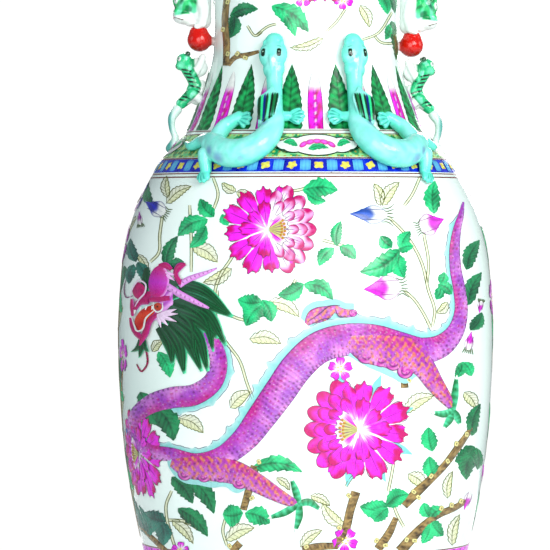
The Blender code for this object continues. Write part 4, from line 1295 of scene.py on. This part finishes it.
class Model:
    """A pressed clay body, with a colour at every point."""

    def __init__(self, clay, voxel, rounds):
        self.points, self.faces = clay.press(voxel, rounds)
        self.colours = None

    def wash(self, tone, weight):
        self.colours = mix(self.colours, tone, weight)

    def dab(self, line, size, tone, soft=0.35, strength=1.0):
        """Paints along a line of points in space, size across."""
        line = np.atleast_2d(np.array(line, float))
        nearest = np.linalg.norm(self.points - line[0], axis=1)
        for start, end in zip(line[:-1], line[1:]):
            run = end - start
            share = np.clip((self.points - start) @ run / (run @ run), 0, 1)
            nearest = np.minimum(nearest, np.linalg.norm(self.points - start - share[:, None] * run,
                                                         axis=1))
        self.wash(tone, strength * (1 - ramp(size * (1 - soft), size * (1 + soft), nearest)))


TURQUOISE_LIGHT, TURQUOISE, TURQUOISE_DEEP = ink(176, 252, 246), ink(122, 244, 224), ink(40, 168, 160)


CHILONG_SPINE = [
    (23, 472, 5, 5.4), (22.5, 463, 5, 6.0), (21.6, 454, 5, 5.4), (20.5, 443.5, 5, 4.9),
    (19.5, 431, 5.8, 5.5), (19, 420.5, 6.4, 7), (22.5, 407.5, 6.5, 8.3), (28.5, 403, 6.5, 8.8),
    (35.5, 403, 6.5, 8.8), (43, 408, 6, 7.3), (51, 411.5, 4, 4.2), (58, 409, 3, 2.8),
    (63.5, 411, 2.5, 1.6),
]
CHILONG_LEGS = [
    ([(19, 425.5, 6, 4.6), (16, 427, 4.6, 3.5), (13.5, 428, 3, 3.2)],
     [(148, 5.2), (164, 5.8), (180, 6), (196, 5.8), (212, 5.2)]),
    ([(43, 410.5, 6.5, 5.4), (43, 420, 5, 4.8), (38, 427.5, 3.2, 3.9)],
     [(160, 4.4), (184, 5.2), (208, 5.4), (232, 5)]),
    ([(44, 402, 7, 4.7), (43.6, 398.5, 5.2, 4.3), (43, 394.5, 3, 3.6)],
     [(240, 4.4), (260, 5), (280, 5), (300, 4.4)]),
]
HEAD_AZIMUTH, HEAD_HEIGHT = 22.8, 466.5
EYES = (HEAD_AZIMUTH + 4.3, HEAD_AZIMUTH - 4.3)


def model_chilong():
    """One right-hand chilong climbing the shoulder."""
    clay = Clay()
    clay.coil([(*spot(a, z, lift), r) for a, z, lift, r in CHILONG_SPINE])
    head = wall_axes(HEAD_AZIMUTH, HEAD_HEIGHT)
    clay.lump(spot(HEAD_AZIMUTH, HEAD_HEIGHT, 6), (9.2, 9.8, 5.4), head)
    clay.lump(spot(HEAD_AZIMUTH, HEAD_HEIGHT + 8, 5), (6.3, 6.4, 4.3), head)
    clay.lump(spot(HEAD_AZIMUTH - 0.8, HEAD_HEIGHT - 9, 5.4), (7.0, 7.6, 4.8), head)
    snout = [spot(HEAD_AZIMUTH - 0.3, HEAD_HEIGHT - 3, 10),
             spot(HEAD_AZIMUTH - 1.2, HEAD_HEIGHT - 13, 8.8)]
    clay.coil([(*snout[0], 2.2), (*snout[1], 1.4)])
    for eye in EYES:
        side = eye - HEAD_AZIMUTH
        clay.lump(spot(eye, HEAD_HEIGHT + 0.5, 9), (2.4, 3.4, 1.9), head)
        clay.lump(spot(HEAD_AZIMUTH + 1.1 * side, HEAD_HEIGHT + 7.5, 6.8), (1.5, 2.4, 1.6), head)
    hair = []
    for i in range(8):
        top, bottom = 17.2 + 1.15 * i, 18.0 + 0.95 * i
        strand = [spot(0.3 * top + 14.5, 443.2 - 0.22 * (i - 3.2) ** 2, 10.6),
                  spot(top, 438 - 0.3 * i, 12.2),
                  spot((top + bottom) / 2, 429, 12.6),
                  spot(bottom, 416 + 0.9 * abs(i - 4), 12 - 0.4 * i)]
        hair.append(strand)
        clay.coil([(*point, r) for point, r in zip(strand, (0.9, 1.15, 1.2, 0.7))])
        clay.coil([(*(point * 0.972 + strand[2] * 0.004), 1.6) for point in strand[1:3]])
    toe_lines = []
    for line, toes in CHILONG_LEGS:
        clay.coil([(*spot(a, z, lift), r) for a, z, lift, r in line])
        a, z, lift, _ = line[-1]
        around, up, out = wall_axes(a, z).T
        for direction, length in toes:
            way = around * math.cos(math.radians(direction)) + up * math.sin(math.radians(direction))
            middle = spot(a, z, lift) + way * length * 0.9
            clay.lump(middle, (length, 2.1, 2.1), np.stack([way, np.cross(out, way), out], 1))
            beside = np.cross(out, way) * 1.5 + out * 1.5
            toe_lines.append([middle - way * length * 0.3 + beside, middle + way * length * 0.7
                              + beside])
    for a, z, lift, size in ((43.5, 407, 9.6, 5.0), (20, 423.5, 8.8, 4.6)):
        clay.lump(spot(a, z, lift), (size, size, size * 0.7), wall_axes(a, z))
    body = Model(clay, 0.46, 4)
    x, y, z = body.points.T
    lift = np.hypot(x, y) - radius(z)
    mottle = clouds(x + y, z, 6)
    # Painted shade and painted highlight: deeper turquoise low down against the wall, and paler turquoise,
    # broken by mottling, on the parts that stand furthest out.
    body.colours = mix(TURQUOISE_DEEP, TURQUOISE, ramp(-0.2, 5.0, lift))
    body.wash(TURQUOISE_LIGHT, ramp(5.5, 12.5, lift) * (0.35 + 0.65 * mottle))
    for a, z, size in ((36, 396.5, 3.4), (40, 401, 2.6), (27, 396, 2.4), (46.5, 413, 2.6),
                       (21.5, 416, 2.0)):
        body.dab(spot(a, z, 12.5), size, mix(SCALE_BLUE, TURQUOISE, 0.35), 0.9, 0.8)
    tones = (MANE_DARK, MANE, BLACK, MINT, MANE_DARK, mix(BLUE, BLACK, 0.6), LEAF[0], MANE_DARK)
    for strand, tone in zip(hair, tones):
        body.dab([p * 1.008 for p in strand], 1.25, tone, 0.2)
    body.dab(hair[4][1:3], 0.5, WHITE, 0.3)
    for eye in EYES:
        pupil = [spot(eye, HEAD_HEIGHT - 0.9, 11), spot(eye, HEAD_HEIGHT + 2.1, 11)]
        body.dab(pupil, 1.5, mix(MANE_DARK, BLACK, 0.5), 0.15)
        body.dab(spot(eye, HEAD_HEIGHT + 1.2, 11.3), 0.6, mix(MINT, WHITE, 0.6), 0.3)
        side = eye - HEAD_AZIMUTH
        brow = [spot(eye + 0.25 * side, HEAD_HEIGHT + 5, 9.6),
                spot(eye - 0.3 * side, HEAD_HEIGHT + 5.6, 10.4)]
        body.dab(brow, 0.4, TURQUOISE_DEEP, 0.4)
    body.dab(snout, 0.5, mix(TURQUOISE_DEEP, BLACK, 0.4), 0.3, 0.8)
    body.dab(spot(HEAD_AZIMUTH - 1.6, HEAD_HEIGHT - 5, 10.8), 1.2, mix(PINK, WHITE, 0.5), 0.5)
    for line in toe_lines:
        body.dab(line, 0.6, TURQUOISE_DEEP, 0.4, 0.75)
    return body


def place_model(name, model, nodes, mirror, half_turn=False, drop=0.0):
    """Sets a model in its place: as it is, mirrored left to right, or turned to the back."""
    turn = -1 if half_turn else 1
    across = -turn if mirror else turn
    placed = model.points * np.array([across, turn, 1]) - np.array([0, 0, drop])
    faces = model.faces[:, ::-1] if mirror else model.faces
    piece = link_mesh(name, placed * MM, faces, CLAY_GLAZE)
    colour_points(piece, model.colours)
    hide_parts(*nodes)


def make_chilongs():
    model = model_chilong()
    for place, mirror, half_turn in (("front_left", True, False), ("front_right", False, False),
                                     ("back_left", True, True), ("back_right", False, True)):
        nodes = [f"chilong_{place}_{part}" for part in ("body", "fore_leg", "upper_hind_leg",
                                                        "lower_hind_leg")]
        place_model(f"modelled_chilong_{place}", model, nodes, mirror, half_turn)


LION_GREEN, LION_MINT, LION_DARK = ink(60, 216, 138), ink(140, 246, 206), ink(4, 84, 52)
IVORY = ink(250, 255, 252)


def model_lion():
    """The adult lion, head down and outward, with its forepaws on the ball."""
    clay = Clay()
    clay.coil([(66, 0, 492, 6.4), (67.0, 0, 500, 7.4), (68, 0, 512, 8.2), (70, 0, 527, 8.6),
               (70.5, 0, 542, 8.6), (68, 0, 556, 5.6)])
    clay.lump((76.0, 0, 504.5), (8.6, 8.4, 8.6))
    clay.lump((77.2, 0, 493.4), (7.0, 6.4, 4.6))
    clay.lump((81.5, 0, 497.2), (2.6, 3.6, 2.2))
    clay.lump((72.6, 0, 490.6), (4.6, 4.8, 3.2))
    curls = []
    for i in range(9):
        angle = math.radians(-70 + 30 * i)
        for reach, out in ((8.6, 73.5), (9.4, 70)):
            centre = (out + 3 * math.sin(angle), reach * math.cos(angle),
                      511 + reach * 0.8 * math.sin(angle))
            clay.lump(centre, (2.7, 2.7, 2.7))
            curls.append(centre)
    eyes = []
    for hand in (-1, 1):
        clay.lump((78.0, hand * 7.2, 512.2), (2.6, 2.2, 3.8))
        clay.lump((81.0, hand * 4.8, 503.6), (2.4, 2.4, 2.4))
        clay.coil([(82.4, hand * 2.0, 507.4, 1.3), (82.2, hand * 4.6, 508.4, 1.6),
                   (79.8, hand * 7.0, 507.0, 1.2)])
        clay.coil([(83.2, hand * 1.8, 495.4, 1.2), (82.4, hand * 4.0, 494.2, 1.4),
                   (78.6, hand * 6.0, 492.4, 1.2)])
        clay.lump((72, hand * 6.6, 541), (6.6, 4.6, 8.6))
        clay.coil([(73, hand * 7.6, 536, 4.2), (77, hand * 8.0, 528, 3.2),
                   (73.4, hand * 8.2, 521, 3.0)])
        clay.coil([(68, hand * 6.0, 508, 4.4), (65, hand * 6.2, 498, 3.6),
                   (66, hand * 5.0, 489.5, 3.0)])
        for toe in (-1.8, 0, 1.8):
            clay.lump((68.4 + toe * 0.5, hand * (4.6 + toe * 0.5), 487.6), (2.2, 1.4, 1.8))
        eyes.append((82.9, hand * 5.2, 504.0))
    ridge = smooth_line(np.array([(77.5, 0, 518), (79.2, 0, 526), (79.6, 0, 536), (79.0, 0, 546),
                                  (76, 0, 553)]), 11, 3)
    for point in ridge:
        clay.lump(point, (1.6, 1.2, 1.9))
    tail = [(70, 0, 552, 5), (76, 0, 560, 3.8), (77, 0, 570, 3.0), (74, 0, 577.5, 1.8)]
    clay.coil(tail)
    for hand in (-1, 1):
        clay.coil([(75.5, hand * 1.0, 560, 2.2), (77.5, hand * 3.6, 568, 2.4),
                   (73.8, hand * 3.0, 574, 1.0)])
    body = Model(clay, 0.6, 5)
    out, across, height = body.points.T
    body.colours = mix(LION_GREEN, LION_MINT, ramp(0.45, 0.8, clouds(out * 1.3, height + across, 7)))
    body.wash(LION_DARK, ramp(0.55, 0.9, clouds(height, out + across, 5)) * 0.6)
    body.wash(IVORY, ramp(70.5, 68.5, out) * (height < 516))
    body.wash(IVORY, ramp(66.5, 62.0, out) * (height < 556))
    body.wash(IVORY, ramp(497.0, 495.6, height + 0.12 * (out - 77) + 1.2 * np.sin(0.9 * across)))
    for centre in curls[3:]:
        if centre[0] > 71.5:
            body.dab(centre, 3.3, LION_DARK, 0.12, 0.85)
            body.dab(np.array(centre) * 1.014, 2.3, LION_GREEN, 0.3)
    for hand in (-1, 1):
        cheek = [(84.0, hand * 5.0, 499), (81.0, hand * 8.0, 501), (78.0, hand * 9.2, 506),
                 (76.0, hand * 9.0, 511)]
        body.dab(cheek, 1.6, LION_DARK, 0.5, 0.9)
        lip = [(84.6, hand * 1.2, 493.4), (82.6, hand * 5.4, 492.6), (77.0, hand * 7.0, 491.2),
               (73.0, hand * 6.6, 493.0)]
        body.dab(lip, 0.4, UMBER, 0.4, 0.9)
        muzzle = [(79.0, hand * 6.6, 494.4), (77.0, hand * 7.4, 497.2), (74.4, hand * 7.4, 495.4)]
        body.dab(muzzle, 0.35, UMBER, 0.4, 0.8)
    body.dab([(84.4, -1.2, 493.2), (84.4, 1.2, 493.2)], 1.1, mix(CRIMSON, RED, 0.4), 0.3)
    body.dab((84.2, 0, 498.4), 1.6, LION_DARK, 0.3)
    for eye in eyes:
        body.dab(eye, 2.3, IVORY, 0.15)
        body.dab(np.array(eye) + (0.6, 0, 0.2), 1.0, BLACK, 0.2)
    for point in ridge:
        body.dab(point, 1.9, LION_DARK, 0.4, 0.9)
    for i in range(5):
        for hand in (-1, 1):
            mark = [(77, hand * 4, 522 + 6 * i), (73, hand * 8, 519 + 6 * i),
                    (70, hand * 9, 517 + 6 * i)]
            body.dab(mark, 0.7, BLACK, 0.4, 0.8)
    body.dab([p[:3] for p in tail[1:]], 3.6, LION_DARK, 0.8, 0.4)
    return body


def model_ball(centre):
    """A coral red ball, a little pear-shaped, on a short lug."""
    clay = Clay()
    x, _, z = centre
    clay.lump((x, 0, z - 1.2), (7.8, 7.6, 7.6))
    clay.lump((x + 0.4, 0, z + 3.0), (6.2, 6.0, 5.4))
    clay.coil([(x - 3, 0, z - 2, 2.8), (x - 12, 0, z - 2, 2.8)])
    body = Model(clay, 0.5, 12)
    out, _, height = body.points.T
    # Painted shade: the red deepens towards the underside of the ball.
    body.colours = mix(ink(222, 22, 6), ink(150, 14, 8), ramp(-2.0, -7.5, height - z) * 0.8)
    body.wash(ink(240, 52, 20), clouds(out, height, 4) * 0.35)
    body.wash(ink(226, 206, 204), ramp(60.4, 59.2, out))
    return body


def model_cub():
    """The cub, belly to the neck, looking up and out at the ball."""
    clay = Clay()
    back = [(76.6, 0, 466, 4.4), (75.0, 0, 460.5, 4.1), (71.8, 0, 455, 4.0), (70.2, 0, 449.5, 4.0),
            (73.4, 0, 444, 4.0), (79.0, 0, 438.8, 3.4)]
    clay.coil(back)
    clay.lump((77.0, 0, 466), (5.0, 5.4, 5.0))
    clay.lump((79.8, 0, 462.6), (3.0, 3.8, 2.8))
    clay.lump((68.0, 0, 462), (6.0, 4.2, 6.4))
    clay.lump((68.0, 0, 446), (8.0, 4.4, 8.4))
    eyes = []
    for hand in (-1, 1):
        clay.lump((75.0, hand * 3.9, 470.0), (1.8, 1.4, 2.0))
        clay.lump((79.6, hand * 3.2, 466.8), (1.5, 1.5, 1.5))
        clay.coil([(71, hand * 3.4, 458, 2.8), (67.5, hand * 4.0, 463, 2.4),
                   (65.5, hand * 3.4, 468.4, 2.0)])
        clay.coil([(73, hand * 4.2, 445, 3.4), (68.5, hand * 4.8, 442.5, 2.8),
                   (65.5, hand * 4.6, 439.0, 2.2)])
        eyes.append((80.8, hand * 3.8, 467.2))
    body = Model(clay, 0.5, 5)
    out, across, height = body.points.T
    line = smooth_line(np.array(back), 24, 3)
    spine = np.interp(height, line[::-1, 2], line[::-1, 0])
    body.colours = mix(ink(60, 212, 150), LION_MINT, ramp(0.5, 0.8, clouds(out, height + across, 5)))
    body.wash(LION_DARK, 0.45 * ramp(1.6, 4.2, spine - out))
    body.wash(IVORY, ramp(3.4, 4.4, spine - out) * (height < 462) + ramp(71.5, 70.0, out)
              * (height >= 462))
    for x, _, z, r in line[5:22:2]:
        for hand in (-1, 1):
            mark = [(x - 3.2, hand * (r + 0.6), z - 0.9), (x + 0.6, hand * (r + 0.4), z + 0.2),
                    (x + r, hand * 0.6 * r, z + 0.9)]
            body.dab(mark, 0.62, BLACK, 0.35)
    for hand in (-1, 1):
        body.dab((75.0, hand * 4.4, 470.4), 2.0, LION_DARK, 0.5)
        body.dab((79.4, hand * 4.0, 463.0), 2.4, LION_MINT, 0.5, 0.8)
        for outline in ([(74, hand * 4.0, 471.2), (69, hand * 4.4, 470.2), (65, hand * 3.6, 471.0)],
                        [(80, hand * 3.6, 436.6), (72, hand * 5.0, 436.6), (66, hand * 5.0, 437.4)]):
            body.dab(outline, 0.45, mix(UMBER, BLACK, 0.3), 0.4, 0.8)
    for eye in eyes:
        body.dab(eye, 1.6, IVORY, 0.2)
        body.dab(np.array(eye) + (0.3, 0, 0.2), 0.8, BLACK, 0.2)
    body.dab([(82.4, -2, 461.6), (82.8, 2, 461.6)], 0.5, UMBER, 0.3)
    return body


def model_tail():
    """The cub's tail: a slim strut that bows out and stands on the shoulder."""
    clay = Clay()
    clay.coil([(81.4, 0, 435.2, 3.1), (84.8, 0, 429.8, 2.6), (84.6, 0, 423, 2.2), (82.8, 0, 417, 2.3),
               (85.6, 0, 410.4, 3.3)])
    body = Model(clay, 0.4, 5)
    edge = ramp(83.6, 86.8, body.points[:, 0])
    body.colours = mix(mix(IVORY, ink(190, 252, 232), 0.4), TURQUOISE_DEEP, edge * 0.85)
    return body


def make_handles():
    low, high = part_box("left_ball")
    ball_height = (low.z + high.z) / 2 / MM
    models = {
        "lion": (model_lion(), "green_enamel"),
        "ball": (model_ball((67.4, 0, ball_height)), "coral_red_enamel"),
        "cub": (model_cub(), "green_enamel"),
        "tail_loop": (model_tail(), "porcelain"),
    }
    drop = (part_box("left_ball")[0].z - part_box("right_ball")[0].z) / MM
    for side in ("left", "right"):
        for part, (model, slot) in models.items():
            place_model(f"modelled_{side}_{part}", model, [f"{side}_{part}"], side == "left",
                        drop=0 if side == "left" else drop)


# ---------------------------------------------------------------- stage


def area_light(name, place, target, size, power, colour=(1, 1, 1)):
    light = bpy.data.lights.new(name, "AREA")
    light.shape, light.size, light.energy, light.color = "DISK", size, power, colour
    lamp = bpy.data.objects.new(name, light)
    lamp.location = place
    lamp.rotation_euler = (Vector(target) - Vector(place)).to_track_quat("-Z", "Y").to_euler()
    bpy.context.scene.collection.objects.link(lamp)


def make_camera():
    """A long lens, level with the upper body and a little to the left of the front."""
    distance, height, aside = EYE_DISTANCE * MM, EYE_HEIGHT * MM, EYE_ASIDE * MM
    aim_height, view_width = 0.3302, 0.34925
    camera = bpy.data.cameras.new("camera")
    camera.sensor_width = 36
    camera.lens = camera.sensor_width * distance / view_width
    eye = bpy.data.objects.new("camera", camera)
    right = Vector((math.cos(FACING), math.sin(FACING), 0))
    back = Vector((math.sin(FACING), -math.cos(FACING), 0))
    aim = Vector((0, 0, aim_height)) - right * aside
    eye.location = aim + back * distance + Vector((0, 0, height - aim_height))
    eye.rotation_euler = (aim - eye.location).to_track_quat("-Z", "Y").to_euler()
    bpy.context.scene.collection.objects.link(eye)
    bpy.context.scene.camera = eye


def make_world():
    """White to the camera, and a dimmer, even white to the porcelain."""
    soft_strength, plain_strength = 0.30, 1.05
    world = bpy.data.worlds.new("studio")
    world.use_nodes = True
    tree = world.node_tree
    soft = tree.nodes["Background"]
    soft.inputs["Color"].default_value = (0.86, 0.96, 1.0, 1)
    soft.inputs["Strength"].default_value = soft_strength
    plain = tree.nodes.new("ShaderNodeBackground")
    plain.inputs["Color"].default_value = (1, 1, 1, 1)
    plain.inputs["Strength"].default_value = plain_strength
    path, choose = tree.nodes.new("ShaderNodeLightPath"), tree.nodes.new("ShaderNodeMixShader")
    tree.links.new(path.outputs["Is Camera Ray"], choose.inputs[0])
    tree.links.new(soft.outputs[0], choose.inputs[1])
    tree.links.new(plain.outputs[0], choose.inputs[2])
    tree.links.new(choose.outputs[0], tree.nodes["World Output"].inputs["Surface"])
    bpy.context.scene.world = world


def make_floor():
    m = Nodes("pale_floor")
    tone = m.spread(m.noise(1.5, 2), 0.3, 0.7, 0, 1)
    m.link(m.blend(tone, ink(244, 244, 242), ink(236, 237, 236)), m.shader.inputs["Base Color"])
    m.shader.inputs["Roughness"].default_value = 0.6
    shape = bmesh.new()
    bmesh.ops.create_circle(shape, cap_ends=True, radius=1.7, segments=128)
    mesh = bpy.data.meshes.new("floor")
    shape.to_mesh(mesh)
    shape.free()
    mesh.materials.append(m.material)
    floor = bpy.data.objects.new("floor", mesh)
    bpy.context.scene.collection.objects.link(floor)


def make_stage():
    """The camera, the floor and the lights. A light's numbers are its place, target, size and power."""
    make_camera()
    make_world()
    make_floor()
    area_light("key", (1.1, -2.3, 1.3), (0, 0, 0.3), 1.6, 62, (1.0, 1.0, 0.99))
    area_light("front_fill", (-0.5, -2.6, 0.5), (0, 0, 0.28), 1.8, 34, (0.97, 1.0, 1.0))
    area_light("left_fill", (-2.4, -0.2, 0.9), (0, 0, 0.3), 1.2, 5, (0.70, 0.90, 1.0))
    area_light("right_fill", (2.4, -0.1, 0.9), (0, 0, 0.3), 1.2, 10, (0.80, 1.0, 0.92))
    area_light("back_fill", (0.4, 2.6, 1.2), (0, 0, 0.3), 1.8, 60)
    bpy.context.scene.view_settings.view_transform = "Standard"


# ---------------------------------------------------------------- the whole vase


def main():
    make_stage()
    make_vessel()
    paints = {name: Paint(f"enamel_{name}") for name in ("bands", "stems", "leaves", "frills",
                                                         "dragons", "peonies")}
    borders(paints)
    for middle in (FACING, FACING + math.pi):
        garden(paints, field(middle))
        neck_scene(paints, field(middle))
        side_scene(paints, middle + SIDE_TURN)
    for paint in paints.values():
        paint.build()
    make_chilongs()
    make_handles()


main()
